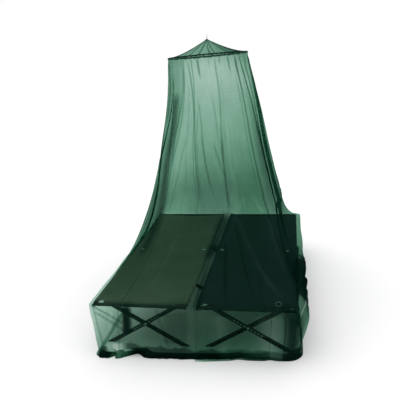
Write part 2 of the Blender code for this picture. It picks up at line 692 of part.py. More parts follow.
def add_hanging():
    """The loop on the apex, the wire hook that it hangs on, and the hook's ceiling plate."""
    x, y = HOOP_CENTRE.x, HOOP_CENTRE.y
    low = APEX_HEIGHT + GAP + LOOP_CORD
    half = LOOP_HEIGHT / 2
    turn = np.linspace(0.0, 2 * math.pi, LOOP_STEPS, endpoint=False)
    loop = np.stack(
        (np.full(LOOP_STEPS, x), y + LOOP_HALF_WIDTH * np.cos(turn), low + half + half * np.sin(turn)), axis=1
    )
    add_tube("hanging_loop", loop, LOOP_CORD, "net_band", cyclic=True)
    bend_low = low + LOOP_HEIGHT - LOOP_CORD - GAP - HOOK_WIRE
    centre = bend_low + HOOK_RADIUS
    turn = np.radians(np.linspace(*HOOK_SWEEP, HOOK_STEPS))
    bend = np.stack(
        (x + HOOK_RADIUS * np.cos(turn), np.full(HOOK_STEPS, y), centre + HOOK_RADIUS * np.sin(turn)), axis=1
    )
    top = centre + HOOK_RADIUS + HOOK_STEM
    wire = np.concatenate((bend, ((x, y, top),)))
    add_tube("ceiling_hook", wire, HOOK_WIRE, "bare_steel")
    profile = (
        (0.0, CEILING_PLATE),
        (CEILING_PLATE_RADIUS, CEILING_PLATE),
        (CEILING_PLATE_RADIUS, 0.0),
        (0.0, 0.0),
    )
    plate = add_turned("ceiling_plate", profile, "bare_steel", 24)
    plate.location = (x, y, top + GAP)


def main():
    """Build the canopy and the two cots."""
    clear_scene()
    new_collection("mosquito_net_canopy")
    cutters = new_collection("cutters")
    add_cot(-1, "left_cot", "canvas_olive", cutters)
    add_cot(1, "right_cot", "canvas_dark", cutters)
    add_strap_ring("right_cot_ring", *RING_PLACE)
    for panel in PANELS:
        add_skirt_panel(panel)
    for number, first in enumerate(ROOF_SEAMS):
        last = ROOF_SEAMS[number + 1] if number + 1 < len(ROOF_SEAMS) else ROOF_SEAMS[0] + 360.0
        add_gore(f"roof_gore_{number + 1}", first, last)
    add_hoop()
    add_sleeve()
    add_tie()
    add_apex()
    add_hanging()


main()
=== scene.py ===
"""The looks of a mosquito net canopy over two folding camp cots.

The script is laid out as a Blender add-on that isn't installed. Property groups hold the sizes and colours,
one operator makes each piece or group of like pieces, and a panel in the 3D view's sidebar lists them.

Metres, +Z up, -Y the foot end. An azimuth is in degrees round the net: 0 at the foot end, 90 on the right.
"""

import math
from collections import namedtuple

import bpy
import numpy as np
from mathutils import Matrix, Vector


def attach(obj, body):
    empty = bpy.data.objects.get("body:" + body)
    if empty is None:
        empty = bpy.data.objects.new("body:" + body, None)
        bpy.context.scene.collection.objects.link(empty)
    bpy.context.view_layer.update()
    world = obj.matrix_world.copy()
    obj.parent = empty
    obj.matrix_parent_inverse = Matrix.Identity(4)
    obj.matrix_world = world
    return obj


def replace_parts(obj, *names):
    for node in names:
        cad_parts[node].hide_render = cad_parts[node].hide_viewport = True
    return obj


bl_info = {
    "name": "Mosquito net canopy",
    "version": (1, 0, 0),
    "blender": (4, 5, 0),
    "location": "View3D > Sidebar > Canopy",
    "description": "Makes the sheer net, its hoop band, the canvases and the finishes of the canopy",
    "category": "Object",
}

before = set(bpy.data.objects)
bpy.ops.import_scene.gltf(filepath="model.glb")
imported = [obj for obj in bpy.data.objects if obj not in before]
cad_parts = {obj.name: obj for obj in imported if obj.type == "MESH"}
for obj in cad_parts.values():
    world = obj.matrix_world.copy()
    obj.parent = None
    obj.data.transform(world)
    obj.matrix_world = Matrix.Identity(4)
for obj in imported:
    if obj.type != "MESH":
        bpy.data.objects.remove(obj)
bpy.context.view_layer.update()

# ---------------------------------------------------------------- the skirt's tables

# One section of the skirt: where its four sides are, how round its corners are, and how deep its folds are.
# Slant is how much further back it lies for each metre to the right.
Section = namedtuple("Section", "height left right front back corner folds wander slant")

HANG = (
    Section(1.9155, -0.254, 0.334, -0.294, 0.294, 0.294, 0.000, 0.000, 0.000),
    Section(1.840, -0.252, 0.341, -0.293, 0.312, 0.290, 0.006, 0.000, 0.000),
    Section(1.722, -0.251, 0.363, -0.296, 0.352, 0.285, 0.010, 0.000, 0.000),
    Section(1.600, -0.262, 0.385, -0.314, 0.392, 0.280, 0.012, 0.000, 0.000),
    Section(1.478, -0.281, 0.407, -0.338, 0.431, 0.275, 0.014, 0.000, 0.000),
    Section(1.350, -0.306, 0.426, -0.376, 0.478, 0.270, 0.015, 0.000, 0.000),
    Section(1.219, -0.334, 0.448, -0.417, 0.527, 0.260, 0.016, 0.000, 0.000),
    Section(1.090, -0.357, 0.473, -0.452, 0.579, 0.250, 0.017, 0.000, 0.000),
    Section(0.960, -0.381, 0.499, -0.488, 0.631, 0.235, 0.018, 0.000, 0.000),
    Section(0.838, -0.411, 0.528, -0.532, 0.680, 0.215, 0.018, 0.000, 0.000),
    Section(0.716, -0.449, 0.546, -0.588, 0.729, 0.185, 0.017, 0.000, 0.000),
    Section(0.620, -0.490, 0.563, -0.650, 0.768, 0.155, 0.015, 0.000, 0.000),
    Section(0.532, -0.545, 0.586, -0.730, 0.812, 0.120, 0.012, 0.000, 0.000),
    Section(0.448, -0.608, 0.622, -0.828, 0.872, 0.080, 0.008, 0.000, 0.000),
    Section(0.387, -0.664, 0.668, -0.926, 0.934, 0.045, 0.002, 0.000, 0.000),
    Section(0.370, -0.6965, 0.698, -0.9675, 0.969, 0.030, 0.002, 0.000, 0.000),
    Section(0.345, -0.707, 0.738, -0.984, 0.990, 0.050, 0.006, 0.002, 0.000),
    Section(0.230, -0.708, 0.726, -0.984, 0.990, 0.085, 0.010, 0.004, 0.020),
    Section(0.100, -0.694, 0.694, -0.978, 0.984, 0.095, 0.012, 0.006, 0.055),
    Section(0.022, -0.684, 0.688, -0.970, 0.980, 0.095, 0.010, 0.008, 0.085),
)
# The skirt's last stretch on the floor: most panels turn under, the outer panel at the entrance turns out.
TURNED_UNDER = (
    Section(0.0020, -0.692, 0.702, -0.980, 0.990, 0.090, 0.000, 0.008, 0.092),
    Section(0.0240, -0.672, 0.682, -0.950, 0.956, 0.070, 0.000, 0.006, 0.082),
    Section(0.0020, -0.664, 0.670, -0.912, 0.918, 0.060, 0.000, 0.004, 0.070),
)
TURNED_OUT = (
    Section(0.0100, -0.700, 0.700, -0.982, 0.990, 0.090, 0.000, 0.008, 0.090),
    Section(0.0020, -0.712, 0.706, -0.996, 1.004, 0.090, 0.000, 0.012, 0.092),
)
EDGE_ROW = 15  # the row of HANG that goes over the cots' edges
BEND_WEIGHT = 0.14

# A line down the skirt: its azimuth at the hoop, where it bends, and over the cots' edge.
Line = namedtuple("Line", "at_hoop at_bend bend at_edge")

ENTRANCE_EDGE = Line(20.0, 22.0, 0.62, 1.0)
HIDDEN_EDGE = Line(43.0, 41.0, 0.60, 27.0)
RIGHT_SEAM = Line(57.0, 55.0, 0.60, 49.0)
BACK_RIGHT_SEAM = Line(126.0, 130.0, 0.50, 138.0)
BACK_SEAM = Line(217.0, 210.0, 0.60, 199.0)
BACK_LEFT_SEAM = Line(263.0, 250.0, 0.60, 236.0)
FRONT_LEFT_SEAM = Line(334.0, 331.0, 0.50, 333.0)

# A skirt panel: between which two lines it lies, how far it stands out, and how it ends on the floor.
Panel = namedtuple("Panel", "name start end out floor")

PANELS = (
    Panel("skirt_front_left", FRONT_LEFT_SEAM, HIDDEN_EDGE, 0.0, TURNED_UNDER),
    Panel("skirt_front_right", ENTRANCE_EDGE, RIGHT_SEAM, 0.0090, TURNED_OUT),
    Panel("skirt_right", RIGHT_SEAM, BACK_RIGHT_SEAM, 0.0, TURNED_UNDER),
    Panel("skirt_back_right", BACK_RIGHT_SEAM, BACK_SEAM, 0.0, TURNED_UNDER),
    Panel("skirt_back_left", BACK_SEAM, BACK_LEFT_SEAM, 0.0, TURNED_UNDER),
    Panel("skirt_left", BACK_LEFT_SEAM, FRONT_LEFT_SEAM, 0.0, TURNED_UNDER),
)

# A main fold: its line, its half width in degrees, and its height as a share of a section's folds.
Fold = namedtuple("Fold", "line width height")

FOLDS = (
    Fold(Line(350.0, 350.0, 0.50, 350.0), 9.0, -0.8),
    Fold(Line(6.0, 5.0, 0.60, 352.0), 8.0, 0.7),
    Fold(Line(31.0, 33.0, 0.60, 31.0), 7.0, 1.0),
    Fold(Line(71.0, 72.0, 0.60, 64.0), 7.0, -1.2),
    Fold(Line(84.0, 82.0, 0.60, 77.0), 6.0, 1.4),
    Fold(Line(98.0, 99.0, 0.60, 95.0), 8.0, -1.0),
    Fold(Line(113.0, 116.0, 0.50, 118.0), 7.0, 0.9),
    Fold(Line(144.0, 146.0, 0.50, 152.0), 8.0, -0.8),
    Fold(Line(163.0, 164.0, 0.50, 166.0), 8.0, 0.9),
    Fold(Line(190.0, 188.0, 0.50, 182.0), 9.0, -0.9),
    Fold(Line(236.0, 232.0, 0.50, 224.0), 8.0, 0.8),
    Fold(Line(276.0, 270.0, 0.50, 262.0), 8.0, -1.0),
    Fold(Line(290.0, 288.0, 0.50, 286.0), 7.0, 1.3),
    Fold(Line(305.0, 304.0, 0.50, 303.0), 7.0, -1.1),
    Fold(Line(319.0, 317.0, 0.50, 314.0), 6.0, 1.0),
)

# A slow wave round the hem, with how many of it go round the net.
Wave = namedtuple("Wave", "count phase height")

WANDER = (
    Wave(3, 0.6, 0.5),
    Wave(7, 2.0, 0.4),
    Wave(13, 1.0, 0.3),
)

# A gather: how many go round the net, its phase and depth, the azimuth it is deepest at, how far it spreads
# each way in degrees, and the falls (0 the hoop, 1 the cots' edge, 2 the floor) between which it lies.
Gather = namedtuple("Gather", "count phase depth azimuth spread top bottom")

GATHERS = (
    Gather(97, 0.3, 0.0022, 0.0, 360.0, -0.10, 0.10),
    Gather(61, 1.7, 0.0024, 20.0, 300.0, -0.10, 0.17),
    Gather(83, 0.9, 0.0022, 305.0, 38.0, -0.10, 0.90),
    Gather(57, 2.2, 0.0032, 296.0, 34.0, 0.00, 0.95),
    Gather(71, 0.4, 0.0016, 70.0, 40.0, -0.05, 0.92),
    Gather(47, 1.1, 0.0026, 84.0, 36.0, 0.05, 0.95),
    Gather(66, 2.6, 0.0025, 180.0, 80.0, 0.00, 0.80),
    Gather(118, 0.2, 0.0080, 62.0, 26.0, 0.92, 1.45),
    Gather(73, 1.9, 0.0150, 63.0, 26.0, 0.90, 1.45),
    Gather(52, 0.7, 0.0035, 0.0, 360.0, 1.25, 2.60),
    Gather(131, 1.4, 0.0030, 0.0, 360.0, 1.60, 2.60),
)

# A crease: its azimuths at falls 0, 1/3, 2/3, 1 and 2, the falls where it starts and ends, its half width in
# metres, how many layers darker (or lighter) it is, and how far it stands out. Two entries are no creases but
# painted shade over the gap between the cots.
Crease = namedtuple("Crease", "hoop third two_thirds edge floor start end width dark relief")

CREASES_AND_SHADE = (
    Crease(18.3, 14.2, 15.0, 34.0, 34.0, 0.00, 0.66, 0.0055, 1.5, 0.004),
    Crease(18.0, 14.4, 15.4, 34.0, 34.0, 0.36, 0.67, 0.0080, 1.6, 0.003),
    Crease(5.0, 5.0, 22.0, 22.0, 22.0, 0.38, 0.53, 0.0060, 1.3, 0.002),
    Crease(21.5, 17.2, 18.0, 37.0, 37.0, 0.10, 0.60, 0.0100, 0.4, 0.000),
    Crease(19.0, 15.0, 18.0, 33.8, 34.0, 0.68, 0.99, 0.0140, -1.1, 0.004),
    Crease(47.5, 41.2, 37.4, 42.5, 42.5, 0.00, 0.95, 0.0048, 3.2, 0.004),
    Crease(43.0, 37.0, 34.5, 39.0, 41.0, 0.10, 0.60, 0.0050, 0.9, -0.003),
    Crease(52.0, 44.5, 41.0, 47.0, 47.0, 0.04, 0.50, 0.0080, -0.3, 0.000),
    Crease(333.5, 327.6, 337.0, 338.0, 338.0, 0.04, 0.47, 0.0070, 1.7, 0.003),
    Crease(341.0, 340.5, 335.0, 333.0, 333.0, 0.36, 0.68, 0.0060, 0.8, 0.003),
    Crease(341.0, 348.0, 356.0, 358.0, 358.0, 0.02, 0.64, 0.0055, 1.8, 0.003),
    Crease(344.7, 355.7, 6.7, 8.0, 8.0, 0.18, 0.58, 0.0055, 1.0, 0.002),
    Crease(354.7, 354.7, 8.0, 8.0, 8.0, 0.32, 0.62, 0.0055, 1.0, 0.002),
    Crease(5.0, 11.0, 15.0, 15.0, 15.0, 0.16, 0.38, 0.0055, 0.8, 0.002),
    Crease(349.0, 350.0, 357.0, 359.5, 359.5, 0.24, 0.62, 0.0055, 0.8, 0.002),
    Crease(338.0, 341.0, 346.0, 346.0, 346.0, 0.12, 0.60, 0.0060, 0.5, 0.002),
    Crease(331.0, 329.0, 329.0, 329.0, 329.0, 0.00, 0.07, 0.0045, 1.6, 0.004),
    Crease(355.0, 358.5, 358.5, 358.5, 358.5, 0.00, 0.09, 0.0065, 2.8, 0.004),
    Crease(24.0, 24.0, 24.0, 24.0, 24.0, 0.00, 0.04, 0.0045, 1.8, 0.003),
    Crease(36.0, 33.0, 33.0, 33.0, 33.0, 0.00, 0.08, 0.0055, 2.2, 0.003),
    Crease(10.0, 8.0, 8.0, 8.0, 8.0, 0.00, 0.05, 0.0040, 1.0, 0.002),
    Crease(318.5, 324.0, 329.0, 328.0, 328.0, 0.16, 0.86, 0.0270, 3.6, 0.004),
    Crease(309.0, 314.0, 321.0, 323.0, 323.0, 0.00, 0.50, 0.0120, 1.3, 0.005),
    Crease(298.0, 297.0, 299.0, 304.0, 304.0, 0.00, 0.30, 0.0120, 1.6, 0.005),
    Crease(291.0, 294.0, 299.0, 304.0, 304.0, 0.10, 0.95, 0.0120, 0.6, 0.005),
    Crease(311.0, 315.0, 318.5, 319.0, 319.0, 0.30, 0.88, 0.0080, -2.0, 0.002),
    Crease(280.0, 283.0, 288.0, 292.0, 292.0, 0.00, 0.95, 0.0120, 0.6, 0.004),
    Crease(269.0, 266.0, 262.0, 258.0, 258.0, 0.00, 0.90, 0.0120, 0.9, 0.004),
    Crease(61.0, 53.0, 50.0, 50.0, 54.0, 0.05, 0.97, 0.0060, 2.4, 0.003),
    Crease(67.0, 63.0, 60.0, 58.0, 58.0, 0.10, 0.97, 0.0060, -1.4, 0.000),
    Crease(71.0, 70.0, 68.0, 62.0, 62.0, 0.00, 0.97, 0.0090, 1.0, 0.005),
    Crease(84.0, 80.5, 77.0, 70.0, 70.0, 0.00, 0.34, 0.0110, 2.6, 0.003),
    Crease(79.0, 78.0, 76.0, 70.0, 70.0, 0.30, 0.97, 0.0080, 0.5, 0.004),
    Crease(88.0, 88.0, 86.0, 80.0, 80.0, 0.00, 0.97, 0.0120, 0.7, 0.004),
    Crease(97.0, 98.0, 98.0, 96.0, 96.0, 0.00, 0.97, 0.0100, 0.7, 0.004),
    Crease(108.0, 110.0, 112.0, 112.0, 112.0, 0.00, 0.97, 0.0120, 1.0, 0.004),
    Crease(37.0, 37.0, 36.8, 39.8, 40.0, 0.70, 0.97, 0.0250, -0.9, 0.003),
    Crease(11.0, 11.0, 11.0, 36.0, 36.0, 0.86, 0.98, 0.0180, -0.7, 0.003),
    Crease(21.0, 24.0, 33.0, 55.0, 55.0, 0.60, 0.99, 0.0090, -0.6, 0.003),
    Crease(13.0, 15.0, 17.0, 25.0, 25.0, 0.72, 0.99, 0.0080, 1.2, 0.003),
    Crease(8.0, 8.0, 12.0, 14.0, 14.0, 0.80, 0.99, 0.0100, 1.4, 0.003),
    Crease(345.0, 345.0, 344.0, 340.0, 340.0, 0.66, 0.97, 0.0080, -0.4, 0.003),
    # Painted shade, here and in the next entry: the net is drawn darker where the shaded gap between the cots
    # shows through.
    Crease(14.4, 14.4, 14.4, 356.4, 356.4, 0.685, 0.86, 0.0320, 8.5, 0.002),
    Crease(8.0, 8.0, 8.0, 2.0, 2.0, 0.82, 1.02, 0.0240, 2.6, 0.002),
    Crease(326.0, 326.0, 326.0, 325.5, 328.5, 0.97, 2.00, 0.0080, 1.2, 0.003),
    Crease(325.0, 325.0, 325.0, 325.2, 355.0, 1.00, 1.34, 0.0110, 2.2, 0.004),
    Crease(323.0, 323.0, 323.0, 323.0, 349.0, 1.12, 1.50, 0.0110, 2.0, 0.004),
    Crease(345.0, 345.0, 345.0, 345.0, 322.0, 1.42, 1.76, 0.0100, 1.2, 0.003),
    Crease(335.3, 335.3, 335.3, 335.3, 335.4, 1.01, 1.52, 0.0150, 10.0, 0.006),
    Crease(336.4, 336.4, 336.4, 336.4, 336.2, 1.01, 1.48, 0.0150, 10.0, 0.006),
    Crease(331.0, 331.0, 331.0, 331.0, 329.0, 1.10, 1.95, 0.0160, -0.5, 0.000),
    Crease(332.4, 332.4, 332.4, 332.4, 332.4, 1.70, 2.30, 0.0320, -2.6, 0.004),
    Crease(32.5, 32.5, 32.5, 32.5, 33.2, 1.00, 2.10, 0.0350, 8.5, 0.003),
    Crease(30.5, 30.5, 30.5, 30.5, 30.9, 1.03, 1.95, 0.0050, 3.4, 0.003),
    Crease(26.3, 26.3, 26.3, 26.3, 26.5, 1.06, 1.82, 0.0600, -1.5, 0.003),
    Crease(38.0, 38.0, 38.0, 38.0, 38.5, 1.04, 2.10, 0.0350, -0.8, 0.004),
    Crease(12.0, 12.0, 12.0, 10.0, 12.0, 1.10, 1.90, 0.0500, -0.8, 0.004),
    Crease(346.0, 346.0, 346.0, 346.0, 352.0, 1.05, 1.80, 0.0100, 1.2, 0.004),
    Crease(337.0, 337.0, 337.0, 337.0, 337.0, 1.85, 3.30, 0.0600, 0.0, -0.055),
    Crease(330.2, 330.2, 330.2, 330.2, 330.2, 1.85, 3.30, 0.0140, 0.0, -0.030),
    Crease(17.0, 17.0, 17.0, 17.0, 17.0, 1.85, 3.30, 0.0400, 0.0, -0.012),
    Crease(27.0, 27.0, 27.0, 27.0, 27.0, 1.85, 3.30, 0.0250, 0.0, -0.012),
    Crease(140.0, 140.0, 140.0, 140.0, 140.0, 1.02, 2.20, 0.3500, 0.0, -0.036),
)

# How many layers thick the net is drawn at a height, straight ahead and by the way it faces. Part of it is
# painted shade: the net darkens from the hoop down to about 0.85 m, and it is drawn denser low in front and
# just under the cots' edge on the right, where the shade under the cots shows through it.
Tone = namedtuple("Tone", "height front front_right right_front right back left left_front front_left")

TONE_AZIMUTHS = (0.0, 36.0, 55.0, 90.0, 180.0, 280.0, 323.0, 336.0)
TONES_AND_SHADE = (
    Tone(1.920, 1.3, 1.5, 2.4, 2.4, 1.3, 2.3, 2.2, 1.3),
    Tone(1.840, 1.0, 1.2, 1.5, 2.0, 1.0, 2.0, 1.9, 0.9),
    Tone(1.720, 1.0, 1.2, 1.5, 2.0, 1.1, 2.2, 1.8, 0.9),
    Tone(1.480, 1.3, 1.5, 3.0, 2.4, 1.8, 2.4, 2.2, 1.1),
    Tone(1.200, 2.1, 2.3, 5.8, 3.0, 2.1, 2.4, 3.2, 1.2),
    Tone(1.000, 3.4, 3.2, 5.2, 3.0, 2.6, 2.3, 4.0, 2.2),
    Tone(0.850, 3.6, 3.4, 5.0, 3.6, 3.0, 2.8, 4.0, 2.6),
    Tone(0.700, 2.8, 2.8, 4.6, 4.0, 3.2, 3.2, 3.6, 2.3),
    Tone(0.420, 2.0, 2.8, 4.8, 3.4, 2.2, 2.8, 2.2, 1.9),
    Tone(0.360, 2.2, 3.0, 6.0, 2.8, 2.0, 1.0, 0.8, 1.9),
    Tone(0.200, 3.2, 2.2, 1.8, 2.6, 2.4, 0.7, 0.9, 2.8),
    Tone(0.080, 3.4, 2.6, 1.8, 2.4, 2.4, 0.7, 1.2, 2.6),
    Tone(0.020, 3.4, 3.6, 2.0, 2.0, 2.0, 0.6, 1.2, 3.0),
    Tone(0.000, 4.6, 6.0, 2.5, 2.5, 2.0, 0.6, 1.4, 4.0),
)

# A dark bunch: between which azimuths and above what height the cloth lies in a heap, how high the heap is at
# its two sides, and how many layers it adds. The entry from 349 to 358 degrees is no heap but painted shade.
Bunch = namedtuple("Bunch", "start end low high_start high_end dark")

BUNCHES_AND_SHADE = (
    Bunch(325.0, 328.8, 0.000, 0.045, 0.085, 6.0),
    Bunch(335.2, 345.0, 0.000, 0.115, 0.085, 3.8),
    Bunch(345.0, 358.0, 0.000, 0.085, 0.085, 3.8),
    Bunch(358.0, 11.0, 0.000, 0.070, 0.080, 3.4),
    Bunch(11.0, 31.0, 0.000, 0.080, 0.085, 1.9),
    Bunch(30.6, 36.6, 0.000, 0.075, 0.095, 9.0),
    Bunch(41.0, 60.0, 0.285, 0.375, 0.405, 8.0),
    Bunch(60.0, 84.0, 0.285, 0.405, 0.372, 8.0),
    # Painted shade: the front wall is drawn denser where the shade under the cots shows through it.
    Bunch(349.0, 358.0, 0.120, 0.350, 0.350, 0.9),
)

ROOF_SEAMS = (353.0, 409.0, 469.0, 537.0, 593.0, 651.0)

# A crease of the roof: its azimuth at the apex and at the hoop, its half width in degrees and its layers.
RoofCrease = namedtuple("RoofCrease", "apex hoop width dark relief")

ROOF_CREASES = (
    RoofCrease(324.0, 336.0, 2.4, 3.4, 0.0015),
    RoofCrease(8.0, 17.0, 2.2, 3.4, 0.0010),
    RoofCrease(60.0, 46.0, 3.0, 1.6, 0.0010),
    RoofCrease(75.0, 82.0, 4.0, 1.6, 0.0015),
    RoofCrease(99.0, 98.0, 16.0, 6.5, 0.0006),
    RoofCrease(280.0, 281.0, 16.0, 6.5, 0.0006),
    RoofCrease(140.0, 150.0, 3.0, 1.0, 0.0010),
    RoofCrease(215.0, 205.0, 3.0, 1.0, 0.0010),
)

# The finish of a hard piece: its colour, how rough and how metallic it is, and how uneven the colour is.
Finish = namedtuple("Finish", "colour roughness metallic uneven")

FINISHES = {
    "painted_steel": Finish((0.005, 0.012, 0.010), 0.45, 0.0, 0.30),
    "bare_steel": Finish((0.740, 0.760, 0.740), 0.34, 1.0, 0.20),
    "hoop_plastic": Finish((0.015, 0.040, 0.028), 0.50, 0.0, 0.15),
}

# ---------------------------------------------------------------- the other pieces' sizes and finishes

# How far the net stays off the floor, and for how many sections on the floor the fall grows by 1.
FLOOR_CLEARANCE = 0.0012
FLOOR_SECTIONS = 3.0
# The fewest layers that the skirt shows.
LEAST_LAYERS = 0.25
# The outer panel stands off along normals that are calmed over this many columns to each side, are shorter in
# its first rows, and are level below a height.
CALM_COLUMNS = 10
CALM_ROWS = 8.0
LEVEL_BELOW = 0.03
# The fall over which gathers and creases set in below the hoop and their troughs get shallower at the cots'
# edge, and by what share they do there.
EDGE_EASE = 0.03
EDGE_CALM = 0.8
# How many points of its edge a panel's columns are worked out from, and the fewest columns.
COLUMN_SAMPLES = 800
FEWEST_COLUMNS = 8
# The falls over which a gather sets in and ends.
GATHER_IN = 0.10
GATHER_OUT = 0.15
# The falls of a crease's five azimuths, and the longest fade at its ends.
CREASE_FALLS = (0.0, 1 / 3, 2 / 3, 1.0, 2.0)
CREASE_EASE = 0.06
# A bunch's soft edges: half a side's width in degrees, the top's width, and how far in the foot's goes.
BUNCH_SIDE = 0.8
BUNCH_EDGE = 0.012
BUNCH_FOOT = 0.004
# The falls between which the entrance's hems darken, and the share of a hem's width at full density.
SEAM_FALLS = (0.90, 1.02)
SEAM_CORE = 0.6

# The hoop as it hangs, in metres and degrees, and the apex cap over it.
HOOP_CENTRE = (0.040, 0.0, 1.921)
HOOP_RADIUS = 0.290
HOOP_TILT_X = 1.6
HOOP_TILT_Y = -1.4
APEX_HEIGHT = 2.037
APEX_RADIUS = 0.012
APEX_DROP = 0.010

# The roof's grid, its clearances, how slack it is, and its layers.
GORE_ROWS = 60
GORE_COLUMNS = 72
GORE_GAP = 0.0004
GORE_TOP_GAP = 0.001
GORE_FOOT_GAP = 0.0055
GORE_LIFT = 0.0052
GORE_SLACK = 0.006
GORE_GATHER = 0.0012
ROOF_LAYERS = 1.75
ROOF_APEX_LAYERS = 0.5
ROOF_SHADE = 3.8
ROOF_SHADE_AZIMUTH = 82.0
ROOF_SHADE_WIDTH = 42.0
ROOF_SEAM = (0.0030, 0.0050)
ROOF_SEAM_LAYERS = 5.0
ROOF_FOOT = (0.965, 0.99)
ROOF_FOOT_LAYERS = 0.6

# The band's section round the hoop, outwards and upwards, and how it ripples.
BAND_PROFILE = (
    (-0.0040, 0.0050),
    (-0.0030, 0.0062),
    (0.0, 0.0066),
    (0.0035, 0.0062),
    (0.0056, 0.0044),
    (0.0062, 0.0010),
    (0.0060, -0.0018),
    (0.0062, -0.0038),
    (0.0064, -0.0054),
)
BAND_COLUMNS = 1081
BAND_RIPPLE = 0.0006
BAND_WAVE = 0.0011
BAND_THICKNESS = 0.0006

# The tie's knot: its half sizes, where it hangs on the band, and the depth of its groove.
KNOT_HALF_SIZES = (0.0058, 0.0018, 0.0078)
KNOT_AZIMUTH = 14.0
KNOT_OUT = 0.0086
KNOT_LOW = 0.002
KNOT_GROOVE = 0.10

# The apex cap's section, outwards and upwards, and its tucks.
CAP_PROFILE = ((0.0004, 0.0), (0.0042, -0.0002), (0.0084, -0.0040), (0.0117, -0.0086), (0.0120, -0.0099))
CAP_TUCK = 0.05

# The hanging loop: its cord's radius, its half sizes, and how far it is over the cap.
LOOP_CORD = 0.0010
LOOP_HALF_WIDTH = 0.0040
LOOP_HALF_HEIGHT = 0.006
LOOP_GAP = 0.0003

# A cot and its canvas: how high and long it is, how the canvas goes round the rails and sags, how it is gridded,
# and how its hems and their stitching look.
COT_HEIGHT = 0.374
COT_LENGTH = 1.90
RAIL_RADIUS = 0.0125
CANVAS_THICKNESS = 0.0025
CANVAS_SAG = 0.014
CANVAS_WRAP = 195.0
CANVAS_GAP = 0.0003
CANVAS_END = 0.030
WRAP_POINTS = 16
SAG_POINTS = 92
CANVAS_ROWS = 260
HEM_SHADE = 0.72
HEM_EDGE = 0.002
STITCH_SHADE = 0.35
STITCH_WIDTH = 0.0015

# A cot: the middles of its rails, its canvas, and what sets its creases off from the other's.
Cot = namedtuple("Cot", "name x_from x_to slot seed")

COTS = (
    Cot("left_cot", -0.6675, -0.0425, "canvas_olive", 1.0),
    Cot("right_cot", 0.0425, 0.6675, "canvas_dark", 4.0),
)

# The legs of a cot cross at this distance from the middle and this height, and lean this much. Along one of each
# pair are rivet heads, up to a reach from there, drawn only as near-white dots that are painted highlights.
LEG_CROSS_X = 0.355
LEG_CROSS_Z = 0.1644
LEG_LEAN = math.radians(30.9)
RIVET_PITCH = 0.026
RIVET_RADIUS = 0.0044
RIVET_REACH = 0.115
# The rivet dots' near-white colour is a painted highlight, not the steel's own colour.
RIVET_HIGHLIGHT_COLOUR = (0.80, 0.84, 0.82)

# What the hard pieces are made of: by name, and by a word in the name.
HARD_SLOTS = {
    "hoop": "hoop_plastic",
    "ceiling_hook": "bare_steel",
    "ceiling_plate": "bare_steel",
    "right_cot_ring": "bare_steel",
}
BARE = ("pivot", "plate")
PAINTED = ("rail", "bar", "leg")

# A noise in a finish: its scale, detail and roughness, and what its 0 and 1 become.
Grain = namedtuple("Grain", "scale detail rough low high", defaults=(0.0, 1.0))

NET_STREAK = Grain(90.0, 3.0, 0.6)
NET_PATCH = Grain(6.0, 2.0, 0.5, -0.12, 0.12)
BAND_THREADS = Grain(900.0, 2.0, 0.5, 0.6, 1.5)
BAND_PATCH = Grain(40.0, 3.0, 0.5, 0.1, 1.9)
CANVAS_PATCH = Grain(7.0, 4.0, 0.6, 0.75, 1.25)
CANVAS_FLECK = Grain(260.0, 2.0, 0.5, 0.8, 1.2)
HARD_PATCH = Grain(14.0, 4.0, 0.6)
HARD_SCUFF = Grain(320.0, 3.0, 0.6, 0.85, 1.15)
FLOOR_PATCH = Grain(1.5, 2.0, 0.5, 0.99, 1.01)

# How a grain is stretched along a piece: what its coordinates are multiplied by.
STREAK_STRETCH = (1.0, 0.07, 1.0)
THREAD_STRETCH = (1.0, 0.2, 1.0)
SCUFF_STRETCH = (1.0, 0.15, 1.0)

# A bump's strength and distance.
BAND_BUMP = (0.5, 0.0006)
CANVAS_BUMP = (0.35, 0.0004)
HARD_BUMP = (0.12, 0.0003)

# The cloths' gloss, how much the canvas's weave shows, and how far a hard piece's roughness goes down and up.
BAND_GLOSS = {"Roughness": 0.9, "Specular IOR Level": 0.06}
CANVAS_GLOSS = {"Roughness": 0.88, "Specular IOR Level": 0.2}
CANVAS_WEAVE = 0.12
GLOSSIER = 0.08
DULLER = 0.14

# The stage: the floor's half size, the lamp's softness in degrees, its place, its turn in degrees, the camera's
# sensor in millimetres, and how many clear layers a ray goes through.
FLOOR_REACH = 200.0
LAMP_ANGLE = 70.0
LAMP_PLACE = (-0.8, -1.2, 4.6)
LAMP_TURN = (14.0, -16.0, 0.0)
SENSOR_WIDTH = 36.0
CLEAR_BOUNCES = 32

# ---------------------------------------------------------------- sizes and colours that a user would change


